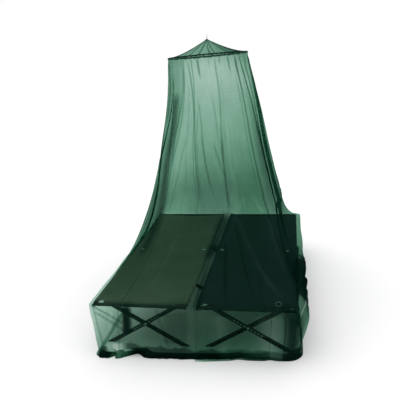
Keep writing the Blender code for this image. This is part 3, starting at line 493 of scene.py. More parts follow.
class CanopyNet(bpy.types.PropertyGroup):
    """Sizes and colours of the sheer net."""

    glow: bpy.props.FloatVectorProperty(
        name="Glow", description="What the yarn passes of the light behind it", subtype="COLOR", size=3,
        default=(0.003, 0.020, 0.014)
    )
    dull: bpy.props.FloatVectorProperty(
        name="Yarn", description="Colour of the yarn in front", subtype="COLOR", size=3,
        default=(0.001, 0.005, 0.004)
    )
    thinnest: bpy.props.FloatProperty(
        name="Thinnest", description="A front panel's density at its open side, as a share", default=0.12
    )
    through: bpy.props.FloatVectorProperty(
        name="Seen through",
        description="The colour that white light has after one layer",
        subtype="COLOR",
        size=3,
        default=(0.613, 0.734, 0.675),
    )
    most_tint: bpy.props.FloatProperty(
        name="Most tint", description="The layers past which the net gets darker but no greener", default=2.4
    )
    mesh_pitch: bpy.props.FloatProperty(
        name="Mesh pitch", description="From one row of holes to the next", default=0.0017, unit="LENGTH"
    )
    mesh_contrast: bpy.props.FloatProperty(
        name="Mesh contrast", description="How much denser the threads are than the holes", default=0.20
    )
    streaks: bpy.props.FloatProperty(
        name="Streaks", description="How uneven the net's density is down its length", default=0.22
    )
    column: bpy.props.FloatProperty(
        name="Column", description="The grid's step along the cots' edge", default=0.0085, unit="LENGTH"
    )
    steps: bpy.props.IntProperty(
        name="Rows", description="Rows of the grid between two sections", default=8
    )
    hem: bpy.props.FloatProperty(
        name="Hem", description="Width of the doubled cloth along a seam", default=0.006, unit="LENGTH"
    )
    hem_dark: bpy.props.FloatProperty(
        name="Hem's density", description="How many layers a seam adds", default=1.2
    )
    band: bpy.props.FloatVectorProperty(
        name="Band", description="Colour of the band round the hoop", subtype="COLOR", size=3,
        default=(0.012, 0.046, 0.031)
    )


class CanopyCots(bpy.types.PropertyGroup):
    """Sizes and colours of the canvases."""

    olive: bpy.props.FloatVectorProperty(
        name="Left canvas", description="Colour of the left canvas", subtype="COLOR", size=3,
        default=(0.172, 0.160, 0.132)
    )
    teal: bpy.props.FloatVectorProperty(
        name="Right canvas", description="Colour of the right canvas", subtype="COLOR", size=3,
        default=(0.040, 0.046, 0.060)
    )
    hem: bpy.props.FloatProperty(
        name="Hem", description="Width of the turned hem at each end", default=0.025, unit="LENGTH"
    )
    thread: bpy.props.FloatProperty(
        name="Thread pitch", description="From one thread to the next", default=0.0016, unit="LENGTH"
    )
    pucker: bpy.props.FloatProperty(
        name="Pucker", description="Depth of the canvas's slack creases", default=0.0018, unit="LENGTH"
    )


class CanopyStage(bpy.types.PropertyGroup):
    """The floor, the lights and the camera."""

    floor: bpy.props.FloatVectorProperty(
        name="Floor", description="Colour of the plain floor", subtype="COLOR", size=3,
        default=(0.92, 0.92, 0.92)
    )
    near: bpy.props.FloatProperty(
        name="Near", description="Where the floor starts to fade away", default=3.0, unit="LENGTH"
    )
    far: bpy.props.FloatProperty(
        name="Far", description="Where the floor has faded away", default=30.0, unit="LENGTH"
    )
    sky: bpy.props.FloatProperty(name="Sky", description="Strength of the white surroundings", default=1.0)
    lamp: bpy.props.FloatProperty(
        name="Lamp", description="Strength of the soft light from above", default=0.70
    )
    place: bpy.props.FloatVectorProperty(
        name="Camera", description="Place of the camera", subtype="TRANSLATION", size=3,
        default=(0.657, -3.71, 1.934)
    )
    yaw: bpy.props.FloatProperty(
        name="Yaw", description="How far the camera is turned to the left", subtype="ANGLE",
        default=math.radians(11.31)
    )
    pitch: bpy.props.FloatProperty(
        name="Pitch", description="How far it looks down", subtype="ANGLE", default=math.radians(16.61)
    )
    roll: bpy.props.FloatProperty(
        name="Roll", description="How far it is rolled", subtype="ANGLE", default=math.radians(-3.55)
    )
    lens: bpy.props.FloatProperty(name="Lens", description="Focal length in millimetres", default=43.97)


# ---------------------------------------------------------------- helpers for shaders


def new_material(name):
    """A material with an empty node tree, its tree and its output node."""
    made = bpy.data.materials.new(name)
    made.use_nodes = True
    tree = made.node_tree
    tree.nodes.clear()
    return made, tree, tree.nodes.new("ShaderNodeOutputMaterial")


def feed(tree, socket, value):
    """Link a socket to an input, or set the input to a number or colour."""
    if isinstance(value, bpy.types.NodeSocket):
        tree.links.new(value, socket)
    elif hasattr(value, "__len__") and len(value) == 3 and socket.type == "RGBA":
        socket.default_value = (*value, 1.0)
    else:
        socket.default_value = value


def add_node(tree, kind, output, inputs=None, **settings):
    """Add a node, with its settings and inputs by name or number, and give one of its outputs."""
    made = tree.nodes.new(kind)
    for name, value in settings.items():
        setattr(made, name, value)
    for name, value in (inputs or {}).items():
        feed(tree, made.inputs[name], value)
    return made.outputs[output]


def maths(tree, operation, *values):
    """A Math node over sockets or numbers."""
    return add_node(tree, "ShaderNodeMath", 0, dict(enumerate(values)), operation=operation)


def vectors(tree, operation, *values):
    """A Vector Math node over sockets or vectors."""
    return add_node(tree, "ShaderNodeVectorMath", 0, dict(enumerate(values)), operation=operation)


def parts_of(tree, vector):
    """The three numbers of a vector."""
    parts = tree.nodes.new("ShaderNodeSeparateXYZ")
    tree.links.new(vector, parts.inputs[0])
    return parts.outputs


def noise(tree, where, grain):
    """The value of a Noise texture with a grain's scale, detail and roughness."""
    inputs = {"Vector": where, "Scale": grain.scale, "Detail": grain.detail, "Roughness": grain.rough}
    return add_node(tree, "ShaderNodeTexNoise", "Fac", inputs)


def spread(tree, value, low, high):
    """Take 0 to 1 to low to high."""
    inputs = {"Value": value, "To Min": low, "To Max": high}
    return add_node(tree, "ShaderNodeMapRange", "Result", inputs, clamp=True)


def patches(tree, where, grain):
    """A noise, taken to the grain's low to high."""
    return spread(tree, noise(tree, where, grain), grain.low, grain.high)


def tinted(tree, colour, shade):
    """A colour times a number."""
    tint = vectors(tree, "SCALE", tuple(colour))
    tree.links.new(shade, tint.node.inputs["Scale"])
    return tint


def bumped(tree, height, bump):
    """The normal that a height gives with a bump's strength and distance."""
    inputs = {"Height": height, "Strength": bump[0], "Distance": bump[1]}
    return add_node(tree, "ShaderNodeBump", "Normal", inputs)


def principled(tree, out, inputs):
    """Make a Principled shader with these inputs the material's surface."""
    tree.links.new(add_node(tree, "ShaderNodeBsdfPrincipled", 0, inputs), out.inputs["Surface"])


def cloth_place(tree):
    """Where a point lies in the flat cloth, in metres."""
    return add_node(tree, "ShaderNodeUVMap", "UV", uv_map="cloth")


def woven(tree, place, turns):
    """A plain weave, from -1 to 1: the sine across the cloth times the sine along it."""
    waves = [maths(tree, "SINE", maths(tree, "MULTIPLY", part, turns)) for part in parts_of(tree, place)[:2]]
    return maths(tree, "MULTIPLY", *waves)


def attribute(tree, name):
    """A float attribute of the piece's points."""
    return add_node(tree, "ShaderNodeAttribute", "Fac", attribute_name=name, attribute_type="GEOMETRY")


def net_material(name):
    """The sheer net: each point is as many layers thick as its attribute says.

    With n layers and t the colour that one layer passes, t^n is seen straight through. The rest is yarn,
    which is dull in front and glows a little with the light behind it."""
    look = bpy.context.scene.canopy_net
    made, tree, out = new_material(name)
    place = cloth_place(tree)
    weave = woven(tree, place, 2 * math.pi / look.mesh_pitch)
    dense = maths(tree, "MULTIPLY_ADD", weave, look.mesh_contrast, 1.0)
    streak = noise(tree, vectors(tree, "MULTIPLY", place, STREAK_STRETCH), NET_STREAK)
    streak = spread(tree, streak, 1 - look.streaks, 1 + look.streaks)
    uneven = maths(tree, "ADD", streak, patches(tree, place, NET_PATCH))
    # The layers attribute holds painted shade as well as the net's real layers.
    layers = maths(tree, "MULTIPLY", maths(tree, "MULTIPLY", attribute(tree, "layers"), dense), uneven)
    most = look.through[1]
    straight = maths(tree, "POWER", most, layers)
    yarn = maths(tree, "SUBTRACT", 1.0, straight)
    coloured = maths(tree, "MINIMUM", layers, look.most_tint)
    red = maths(tree, "POWER", look.through[0] / most, coloured)
    blue = maths(tree, "POWER", look.through[2] / most, coloured)
    tint = add_node(tree, "ShaderNodeCombineColor", 0, {0: red, 1: 1.0, 2: blue})
    clear = add_node(tree, "ShaderNodeBsdfTransparent", 0, {"Color": tint})
    lit = add_node(tree, "ShaderNodeBsdfTranslucent", 0, {"Color": tuple(look.glow)})
    front = add_node(tree, "ShaderNodeBsdfDiffuse", 0, {"Color": tuple(look.dull)})
    cloth = add_node(tree, "ShaderNodeAddShader", 0, {0: lit, 1: front})
    surface = add_node(tree, "ShaderNodeMixShader", 0, {0: yarn, 1: clear, 2: cloth})
    tree.links.new(surface, out.inputs["Surface"])
    return made


def band_material(name):
    """The dense dark cloth of the band, cap, tie and loop: matt, with fine threads and worn patches."""
    made, tree, out = new_material(name)
    place = cloth_place(tree)
    threads = noise(tree, vectors(tree, "MULTIPLY", place, THREAD_STRETCH), BAND_THREADS)
    shade = spread(tree, threads, BAND_THREADS.low, BAND_THREADS.high)
    shade = maths(tree, "MULTIPLY", shade, patches(tree, place, BAND_PATCH))
    colour = tinted(tree, bpy.context.scene.canopy_net.band, shade)
    principled(tree, out, {"Base Color": colour, "Normal": bumped(tree, threads, BAND_BUMP), **BAND_GLOSS})
    return made


def canvas_material(name, colour):
    """A cot's canvas: a plain weave over and under, with soft patches of wear and a darker doubled hem."""
    made, tree, out = new_material(name)
    place = cloth_place(tree)
    weave = woven(tree, place, math.pi / bpy.context.scene.canopy_cots.thread)
    shade = maths(tree, "MULTIPLY", patches(tree, place, CANVAS_PATCH), patches(tree, place, CANVAS_FLECK))
    shade = maths(tree, "MULTIPLY", shade, maths(tree, "MULTIPLY_ADD", weave, CANVAS_WEAVE, 1.0))
    shade = maths(tree, "MULTIPLY", shade, attribute(tree, "hem"))
    tint = tinted(tree, colour, shade)
    principled(tree, out, {"Base Color": tint, "Normal": bumped(tree, weave, CANVAS_BUMP), **CANVAS_GLOSS})
    return made


def leg_rivet_highlights(tree, where):
    """1 in the near-white dots along one leg of each pair, painted highlights of rivet heads, and 0 elsewhere.

    They lie a pitch apart on the line that falls from the legs' crossing to the outside, within a reach."""
    parts = parts_of(tree, where)
    out = maths(tree, "SUBTRACT", maths(tree, "ABSOLUTE", parts[0]), LEG_CROSS_X)
    up = maths(tree, "SUBTRACT", parts[2], LEG_CROSS_Z)
    lean = (math.cos(LEG_LEAN), math.sin(LEG_LEAN))
    along = [maths(tree, "MULTIPLY", part, share) for part, share in zip((out, up), lean)]
    along = maths(tree, "ABSOLUTE", maths(tree, "SUBTRACT", *along))
    across = maths(tree, "ADD", maths(tree, "MULTIPLY", out, lean[1]), maths(tree, "MULTIPLY", up, lean[0]))
    from_rivet = maths(tree, "PINGPONG", along, RIVET_PITCH / 2)
    squares = [maths(tree, "POWER", from_rivet, 2.0), maths(tree, "MULTIPLY", across, across)]
    inside = maths(tree, "LESS_THAN", maths(tree, "SQRT", maths(tree, "ADD", *squares)), RIVET_RADIUS)
    middle, half = (RIVET_REACH + RIVET_PITCH / 2) / 2, (RIVET_REACH - RIVET_PITCH / 2) / 2
    near = maths(tree, "COMPARE", along, middle, half)
    return maths(tree, "MULTIPLY", inside, near)


def hard_material(name, finish, rivet_highlights):
    """Painted or bare steel, or plastic: a little uneven in colour and gloss, with fine scuffs.

    Painted steel also has the painted highlights of the legs' rivet heads."""
    made, tree, out = new_material(name)
    where = add_node(tree, "ShaderNodeTexCoord", "Object")
    patch = noise(tree, where, HARD_PATCH)
    scuff = noise(tree, vectors(tree, "MULTIPLY", where, SCUFF_STRETCH), HARD_SCUFF)
    shade = spread(tree, patch, 1 - finish.uneven, 1 + finish.uneven)
    shade = maths(tree, "MULTIPLY", shade, spread(tree, scuff, HARD_SCUFF.low, HARD_SCUFF.high))
    colour = tinted(tree, finish.colour, shade)
    # The legs' rivet heads are drawn as near-white dots: painted highlights.
    if rivet_highlights:
        inputs = {0: leg_rivet_highlights(tree, where), 6: colour, 7: RIVET_HIGHLIGHT_COLOUR}
        colour = add_node(tree, "ShaderNodeMix", 2, inputs, data_type="RGBA")
    gloss = spread(tree, patch, finish.roughness - GLOSSIER, finish.roughness + DULLER)
    inputs = {"Base Color": colour, "Roughness": gloss, "Metallic": finish.metallic}
    principled(tree, out, {**inputs, "Normal": bumped(tree, scuff, HARD_BUMP)})
    return made


def shared_material(name, make, *values):
    """The look of that name, made once."""
    name += "_look"
    return bpy.data.materials.get(name) or make(name, *values)


# ---------------------------------------------------------------- helpers for surfaces


def smooth_rows(table, steps):
    """A table's rows with more between them, by the Catmull-Rom rule through each row and its neighbours."""
    data = np.array(table)
    places = np.linspace(0.0, len(data) - 1.0, (len(data) - 1) * steps + 1)
    index = np.minimum(places.astype(int), len(data) - 2)
    share = (places - index)[:, None]
    a, b, c, d = (data[np.clip(index + k, 0, len(data) - 1)] for k in (-1, 0, 1, 2))
    return b + 0.5 * share * (c - a + share * (2 * a - 5 * b + 4 * c - d + share * (3 * (b - c) + d - a)))


def cloth_piece(name, points, uv, layers, material, attribute_name="layers"):
    """A named sheet through a grid of points, with its cloth coordinates and a point attribute.

    The rows run down the outside and the columns to the right of someone who faces it, so it faces out."""
    rows, columns = points.shape[:2]
    index = np.arange(rows * columns).reshape(rows, columns)
    quads = np.stack((index[:-1, :-1], index[1:, :-1], index[1:, 1:], index[:-1, 1:]), axis=-1).reshape(-1, 4)
    data = bpy.data.meshes.new(name)
    data.vertices.add(rows * columns)
    data.vertices.foreach_set("co", points.reshape(-1).astype(np.float32))
    data.loops.add(quads.size)
    data.loops.foreach_set("vertex_index", quads.reshape(-1).astype(np.int32))
    data.polygons.add(len(quads))
    data.polygons.foreach_set("loop_start", np.arange(0, quads.size, 4, dtype=np.int32))
    data.update(calc_edges=True)
    chart = data.uv_layers.new(name="cloth")
    chart.uv.foreach_set("vector", uv.reshape(-1, 2)[quads.reshape(-1)].reshape(-1).astype(np.float32))
    mark = data.attributes.new(attribute_name, "FLOAT", "POINT")
    mark.data.foreach_set("value", np.broadcast_to(layers, (rows, columns)).reshape(-1).astype(np.float32))
    data.shade_smooth()
    data.materials.append(material)
    piece = bpy.data.objects.new(name, data)
    bpy.context.scene.collection.objects.link(piece)
    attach(piece, "root")
    return piece


def cloth_chart(points):
    """Cloth coordinates in metres: evenly over the longest row, and the mean way down the columns."""
    along = np.linalg.norm(np.diff(points, axis=1), axis=2)
    down = np.linalg.norm(np.diff(points, axis=0), axis=2).mean(axis=1)
    widest = along.sum(axis=1).max()
    across = np.linspace(0.0, widest, points.shape[1])
    fall = np.concatenate(([0.0], np.cumsum(down)))
    return np.stack(np.broadcast_arrays(across[None, :], -fall[:, None]), axis=-1)


def soft_step(value, start, end):
    """0 before start and 1 after end, with a smooth rise between."""
    share = np.clip((value - start) / (end - start), 0.0, 1.0)
    return share * share * (3.0 - 2.0 * share)


def angle_between(azimuth, line):
    """How far an azimuth is from a line's, from -180 to 180 degrees."""
    return (azimuth - line + 180.0) % 360.0 - 180.0


def line_azimuth(line, share):
    """A line's azimuth at a share of the fall: linear to its bend, then eased to the cots' edge."""
    share = np.clip(share, 0.0, 1.0)
    upper = np.clip(share / line.bend, 0.0, 1.0)
    lower = np.clip((share - line.bend) / (1.0 - line.bend), 0.0, 1.0)
    ease = lower * lower * (3.0 - 2.0 * lower)
    return line.at_hoop + (line.at_bend - line.at_hoop) * upper + (line.at_edge - line.at_bend) * ease


def rounded_reach(turn, half_x, half_y, corner):
    """How far a rectangle with rounded corners reaches from its middle.

    It is the nearer of the two straight sides, and within a corner the far side of the corner's circle."""
    side, end = np.abs(np.sin(turn)), np.abs(np.cos(turn))
    straight = np.minimum(half_x / np.maximum(side, 1e-9), half_y / np.maximum(end, 1e-9))
    inner_x, inner_y = half_x - corner, half_y - corner
    along = side * inner_x + end * inner_y
    inside = along**2 - (inner_x**2 + inner_y**2 - corner**2)
    arc = along + np.sqrt(np.maximum(inside, 0.0))
    in_corner = (straight * side > inner_x) & (straight * end > inner_y)
    return np.where(in_corner, arc, straight)


def hoop_lift(x, y):
    """How far the tilted hoop stands above its level place at x, y."""
    slope_x = -math.tan(math.radians(HOOP_TILT_Y))
    slope_y = math.tan(math.radians(HOOP_TILT_X))
    return (x - HOOP_CENTRE[0]) * slope_x + (y - HOOP_CENTRE[1]) * slope_y


def skirt_falls(rows, steps):
    """How far down each row is: 0 at the hoop, 1 over the cots' edge, 2 at the floor, and on from there."""
    top, edge = HANG[0].height, HANG[EDGE_ROW].height
    places = np.arange(len(rows)) / steps
    wall_end = len(HANG) - 1
    hanging = (top - rows[:, 0]) / (top - edge)
    wall = 1.0 + (edge - rows[:, 0]) / edge
    floor = 2.0 + (places - wall_end) / FLOOR_SECTIONS
    return np.where(places <= EDGE_ROW, hanging, np.where(places <= wall_end, wall, floor))[:, None]


def gather_depth(azimuth, fall):
    """The fine gathers: sines round the net, each deepest in its own zone and uneven from one to the next.

    A sine's phase wavers by 1.3 sin(5 azimuth + 2.1 fall), and its depth is times
    0.6 + 0.4 sin(17 azimuth + 3 phase + 3 fall)."""
    depth = np.zeros_like(azimuth)
    for gather in GATHERS:
        away = angle_between(azimuth, gather.azimuth) / gather.spread
        zone = np.exp(-(away**2) * 2.0)
        reach = soft_step(fall, gather.top, gather.top + GATHER_IN)
        reach = reach * (1 - soft_step(fall, gather.bottom - GATHER_OUT, gather.bottom))
        bend = 1.3 * np.sin(np.radians(azimuth) * 5 + fall * 2.1)
        turn = np.radians(azimuth) * gather.count + gather.phase + bend
        uneven = 0.6 + 0.4 * np.sin(np.radians(azimuth) * 17 + gather.phase * 3 + fall * 3.0)
        depth += gather.depth * zone * reach * uneven * np.sin(turn)
    return depth


def crease_and_shade_fields(azimuth, fall, reach):
    """Layers and relief of the creases: a smooth ridge along each crease's line, faded at its ends.
    Two of them are painted shade over the gap between the cots.

    The ridge is exp(-(distance / width)^2). A fade is CREASE_EASE long, or 0.3 or 0.8 of a short crease."""
    layers, relief = np.zeros_like(azimuth), np.zeros_like(azimuth)
    for crease in CREASES_AND_SHADE:
        line = np.interp(fall, CREASE_FALLS, crease[:5])
        if crease.hoop > 180.0 > crease.edge or crease.hoop < 180.0 < crease.edge:
            around = [(part + 180.0) % 360.0 for part in crease[:5]]
            line = np.interp(fall, CREASE_FALLS, around) - 180.0
        away = np.radians(angle_between(azimuth, line)) * reach / crease.width
        length = crease.end - crease.start
        ease_in, ease_out = min(CREASE_EASE, 0.3 * length), min(CREASE_EASE, 0.8 * length)
        fade = soft_step(fall, crease.start - 0.4 * ease_in, crease.start + 0.6 * ease_in)
        fade = fade * (1 - soft_step(fall, crease.end - 0.8 * ease_out, crease.end + 0.2 * ease_out))
        ridge = np.exp(-(away**2)) * fade
        layers += crease.dark * ridge
        relief += crease.relief * ridge
    return layers, relief


def tone_and_shade_layers(azimuth, height):
    """The net's density in layers by height and azimuth, smooth between entries, painted shade included."""
    heights = np.array([tone.height for tone in TONES_AND_SHADE])[::-1]
    table = np.array([tone[1:] for tone in TONES_AND_SHADE])[::-1]
    around = np.concatenate((TONE_AZIMUTHS, (360.0,)))
    by_height = np.stack([np.interp(height[:, 0], heights, column) for column in table.T], axis=1)
    by_height = np.concatenate((by_height, by_height[:, :1]), axis=1)
    turn = azimuth % 360.0
    index = np.clip(np.searchsorted(around, turn, side="right") - 1, 0, len(around) - 2)
    share = (turn - around[index]) / (around[index + 1] - around[index])
    share = share * share * (3 - 2 * share)
    row = np.arange(len(height))[:, None]
    return by_height[row, index] * (1 - share) + by_height[row, index + 1] * share


def bunch_and_shade_layers(azimuth, height):
    """The layers that the heaps and a patch of painted shade add, each with a soft upper edge.

    The edge waves by 7 mm sin(37 azimuth) and 4 mm sin(71 azimuth)."""
    layers = np.zeros_like(azimuth)
    turn = np.radians(azimuth)
    wavy = 0.007 * np.sin(turn * 37 + 0.6) + 0.004 * np.sin(turn * 71 + 1.0)
    for bunch in BUNCHES_AND_SHADE:
        middle, half = (bunch.start + bunch.end) / 2, (bunch.end - bunch.start) / 2
        if bunch.start > bunch.end:
            middle, half = middle - 180.0, half + 180.0
        away = angle_between(azimuth, middle)
        share = np.clip(away / half / 2 + 0.5, 0.0, 1.0)
        top = bunch.high_start + (bunch.high_end - bunch.high_start) * share
        inside = 1 - soft_step(np.abs(away), half - BUNCH_SIDE, half + BUNCH_SIDE)
        low = soft_step(height, bunch.low - BUNCH_EDGE, bunch.low + BUNCH_FOOT) if bunch.low > 0.0 else 1.0
        high = 1 - soft_step(height + wavy, top - BUNCH_EDGE, top)
        layers += bunch.dark * inside * low * high
    return layers


def fold_height(azimuth, share):
    """The main folds: a smooth ridge or trough along each fold's line."""
    height = np.zeros_like(azimuth)
    for fold in FOLDS:
        away = angle_between(azimuth, line_azimuth(fold.line, share)) / fold.width
        height += fold.height * np.exp(-(away**2))
    return height


def skirt_surface(rows, fall, azimuth):
    """The skirt's points for rows of sections, their fall and a grid of azimuths, and their layers.

    Each section is a rounded rectangle from its middle, plus folds, gathers, creases and wander."""
    height, left, right, front, back, corner, folds, wander, slant = np.split(rows, rows.shape[1], axis=1)
    turn = np.radians(azimuth)
    share = np.clip(fall, 0.0, 1.0)
    half_x, half_y = (right - left) / 2, (back - front) / 2
    reach = rounded_reach(turn, half_x, half_y, np.minimum(corner, np.minimum(half_x, half_y)))
    reach = reach + folds * fold_height(azimuth, share)
    reach = reach + wander * sum(wave.height * np.sin(wave.count * turn + wave.phase) for wave in WANDER)
    # Two of the creases are painted shade over the gap between the cots.
    layers, relief = crease_and_shade_fields(azimuth, fall, reach)
    near_edge = np.exp(-(((fall - 1.0) / EDGE_EASE) ** 2))
    fine = gather_depth(azimuth, fall) + relief
    fine = np.where(fine > 0.0, fine, fine * (1 - EDGE_CALM * near_edge))
    reach = reach + fine * soft_step(fall, 0.0, EDGE_EASE)
    x = (left + right) / 2 + reach * np.sin(turn)
    y = (front + back) / 2 - reach * np.cos(turn) + slant * x
    lift = hoop_lift(x, y) * np.maximum(0.0, 1.0 - share) ** 2
    z = np.maximum(height + lift, FLOOR_CLEARANCE)
    # The tones and one bunch add painted shade here as extra layers, besides the net's real density.
    layers = layers + tone_and_shade_layers(azimuth, height) + bunch_and_shade_layers(azimuth, height)
    return np.stack((x, y, z), axis=-1), layers


def stand_off(points):
    """The outward normal of a sheet's grid, a third as long at its top, and level on the floor.

    It is the normal of a calm copy, in which each point is the mean of the columns to both sides."""
    window = 2 * CALM_COLUMNS + 1
    ends = ((0, 0), (CALM_COLUMNS + 1, CALM_COLUMNS), (0, 0))
    total = np.cumsum(np.pad(points, ends, mode="reflect", reflect_type="odd"), axis=1)
    calm = (total[:, window:] - total[:, :-window]) / window
    normal = np.cross(np.gradient(calm, axis=0), np.gradient(calm, axis=1))
    normal /= np.maximum(np.linalg.norm(normal, axis=2, keepdims=True), 1e-12)
    rows = np.arange(len(points))[:, None, None]
    normal *= 1 / 3 + 2 / 3 * soft_step(rows, 0.0, CALM_ROWS)
    normal[points[..., 2] < LEVEL_BELOW] *= (1.0, 1.0, 0.0)
    return normal


def panel_columns(panel, step):
    """Where a panel's columns lie between its sides, by equal lengths of edge plus a share for turning."""
    first, last = line_azimuth(panel.start, 1.0), line_azimuth(panel.end, 1.0)
    last += 360.0 if last < first else 0.0
    fine = np.linspace(0.0, 1.0, COLUMN_SAMPLES)
    edge_row = np.array([HANG[EDGE_ROW]])
    around = (first + (last - first) * fine)[None, :]
    edge = skirt_surface(edge_row, np.array([[1.0]]), around)[0][0, :, :2]
    delta = np.diff(edge, axis=0)
    heading = np.unwrap(np.arctan2(delta[:, 1], delta[:, 0]))
    weight = np.linalg.norm(delta, axis=1) + BEND_WEIGHT * np.abs(np.gradient(heading))
    total = np.concatenate(([0.0], np.cumsum(weight)))
    count = max(FEWEST_COLUMNS, round(total[-1] / step))
    return np.interp(np.linspace(0.0, total[-1], count), total, fine)


def seam_strip(line, away, fall):
    """The layers that a seam adds along a panel's side; the entrance's open hems are soft above the cots."""
    look = bpy.context.scene.canopy_net
    strength = soft_step(fall, *SEAM_FALLS) if line in (ENTRANCE_EDGE, HIDDEN_EDGE) else 1.0
    return look.hem_dark * strength * (1 - soft_step(away, look.hem * SEAM_CORE, look.hem))


def skirt_panel(panel):
    """One panel of the skirt as a sheer sheet, which stands for its CAD panel."""
    look = bpy.context.scene.canopy_net
    rows = smooth_rows(HANG + panel.floor, look.steps)
    fall = skirt_falls(rows, look.steps)
    first, last = line_azimuth(panel.start, fall), line_azimuth(panel.end, fall)
    last = np.where(last < first, last + 360.0, last)
    azimuth = first + (last - first) * panel_columns(panel, look.column)[None, :]
    points, layers = skirt_surface(rows, fall, azimuth)
    if panel.out:
        points = points + panel.out * stand_off(points)
        points[..., 2] = np.maximum(points[..., 2], FLOOR_CLEARANCE)
    chart = cloth_chart(points)
    steps = np.linalg.norm(np.diff(points, axis=1, prepend=points[:, :1]), axis=2)
    from_start = np.cumsum(steps, axis=1)
    from_end = from_start[:, -1:] - from_start
    hems = seam_strip(panel.start, from_start, fall) + seam_strip(panel.end, from_end, fall)
    if HIDDEN_EDGE in panel or ENTRANCE_EDGE in panel:
        entrance, hidden = line_azimuth(ENTRANCE_EDGE, fall), line_azimuth(HIDDEN_EDGE, fall)
        across = np.clip(angle_between(azimuth, entrance) / (hidden - entrance), 0.0, 1.0)
        away = across if HIDDEN_EDGE in panel else 1 - across
        layers = layers * (1 - (1 - look.thinnest) * away)
    layers = np.maximum(layers + hems, LEAST_LAYERS)
    material = shared_material("net", net_material)
    piece = cloth_piece("net_" + panel.name, points, chart, layers, material)
    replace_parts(piece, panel.name)
    return piece


def roof_gore(number, first, last):
    """One gore of the roof: a hollow cone's sector with slack between its seams, rising to the apex cap.

    Its height over the hoop is rise * (1 - reach / radius)^1.5, less the slack sin(pi r) * sin(pi u)."""
    reach = np.linspace(APEX_RADIUS + GORE_TOP_GAP, HOOP_RADIUS - GORE_FOOT_GAP, GORE_ROWS)[:, None]
    across = np.linspace(0.0, 1.0, GORE_COLUMNS)[None, :]
    seam = np.degrees(GORE_GAP / reach)
    azimuth = first + seam + (last - first - 2 * seam) * across
    turn = np.radians(azimuth)
    slack = GORE_SLACK * np.sin(math.pi * reach / HOOP_RADIUS) * np.sin(math.pi * across)
    fall = (reach - APEX_RADIUS) / (HOOP_RADIUS - APEX_RADIUS)
    layers = np.full(azimuth.shape, ROOF_LAYERS) + ROOF_APEX_LAYERS * np.exp(-fall * 8.0)
    away = angle_between(azimuth, ROOF_SHADE_AZIMUTH) / ROOF_SHADE_WIDTH
    layers = layers + ROOF_SHADE * np.exp(-(away**2)) * fall
    relief = np.zeros_like(azimuth)
    for crease in ROOF_CREASES:
        away = angle_between(azimuth, crease.apex + (crease.hoop - crease.apex) * fall) / crease.width
        ridge = np.exp(-(away**2)) * soft_step(fall, 0.02, 0.15)
        layers = layers + crease.dark * ridge
        relief = relief + crease.relief * ridge
    gathers = GORE_GATHER * soft_step(fall, 0.72, 1.0) * np.sin(turn * 97 + 1.3 * np.sin(turn * 5))
    x = HOOP_CENTRE[0] + reach * np.sin(turn)
    y = HOOP_CENTRE[1] - reach * np.cos(turn)
    rise = APEX_HEIGHT - APEX_DROP / 2 - HOOP_CENTRE[2]
    z = HOOP_CENTRE[2] + GORE_LIFT + rise * (1 - reach / HOOP_RADIUS) ** 1.5 - slack + hoop_lift(x, y)
    points = np.stack((x, y, z + (relief + gathers) * soft_step(fall, 0.0, 0.1)), axis=-1)
    side = np.minimum(across, 1 - across) * np.radians(last - first) * reach
    layers = layers + ROOF_SEAM_LAYERS * (1 - soft_step(side, *ROOF_SEAM))
    layers = layers + ROOF_FOOT_LAYERS * soft_step(fall, *ROOF_FOOT)
    chart = cloth_chart(points)
    name = f"net_roof_{number}"
    piece = cloth_piece(name, points, chart, layers, shared_material("net", net_material))
    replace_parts(piece, f"roof_gore_{number}")
    return piece


def tilted(points):
    """Turn points that were made round the origin as the hoop hangs, and move them to its centre."""
    turn_x, turn_y = math.radians(HOOP_TILT_X), math.radians(HOOP_TILT_Y)
    matrix = np.array(Matrix.Rotation(turn_y, 3, "Y") @ Matrix.Rotation(turn_x, 3, "X"))
    return points @ matrix.T + np.array(HOOP_CENTRE)


def band_piece(name, points):
    """A piece of the dense dark cloth from a grid of points."""
    chart = cloth_chart(points)
    return cloth_piece(name, points, chart, 1.0, shared_material("net_band", band_material))


def sleeve_surface():
    """The band round the hoop: a profile over the hoop and down outside it, turned round the middle.

    The gathers are a ripple of sines in radius that grows to the lower edge, and that edge waves a little."""
    rows = smooth_rows(BAND_PROFILE, 3)
    turn = np.linspace(0.0, 2 * math.pi, BAND_COLUMNS)[None, :]
    fall = np.linspace(0.0, 1.0, len(rows))[:, None]
    ripple = np.sin(turn * 143 + 1.1 * np.sin(turn * 7)) + 0.6 * np.sin(turn * 89 + 2.0)
    uneven = 0.6 + 0.4 * np.sin(turn * 11 + 0.7)
    reach = HOOP_RADIUS + rows[:, :1] + BAND_RIPPLE * ripple * uneven * soft_step(fall, 0.3, 1.0)
    wave = np.sin(turn * 53) + 0.7 * np.sin(turn * 23 + 1.0)
    height = rows[:, 1:] + BAND_WAVE * wave * soft_step(fall, 0.5, 1.0)
    flat = np.stack(np.broadcast_arrays(reach * np.sin(turn), -reach * np.cos(turn), height), axis=-1)
    return tilted(flat)


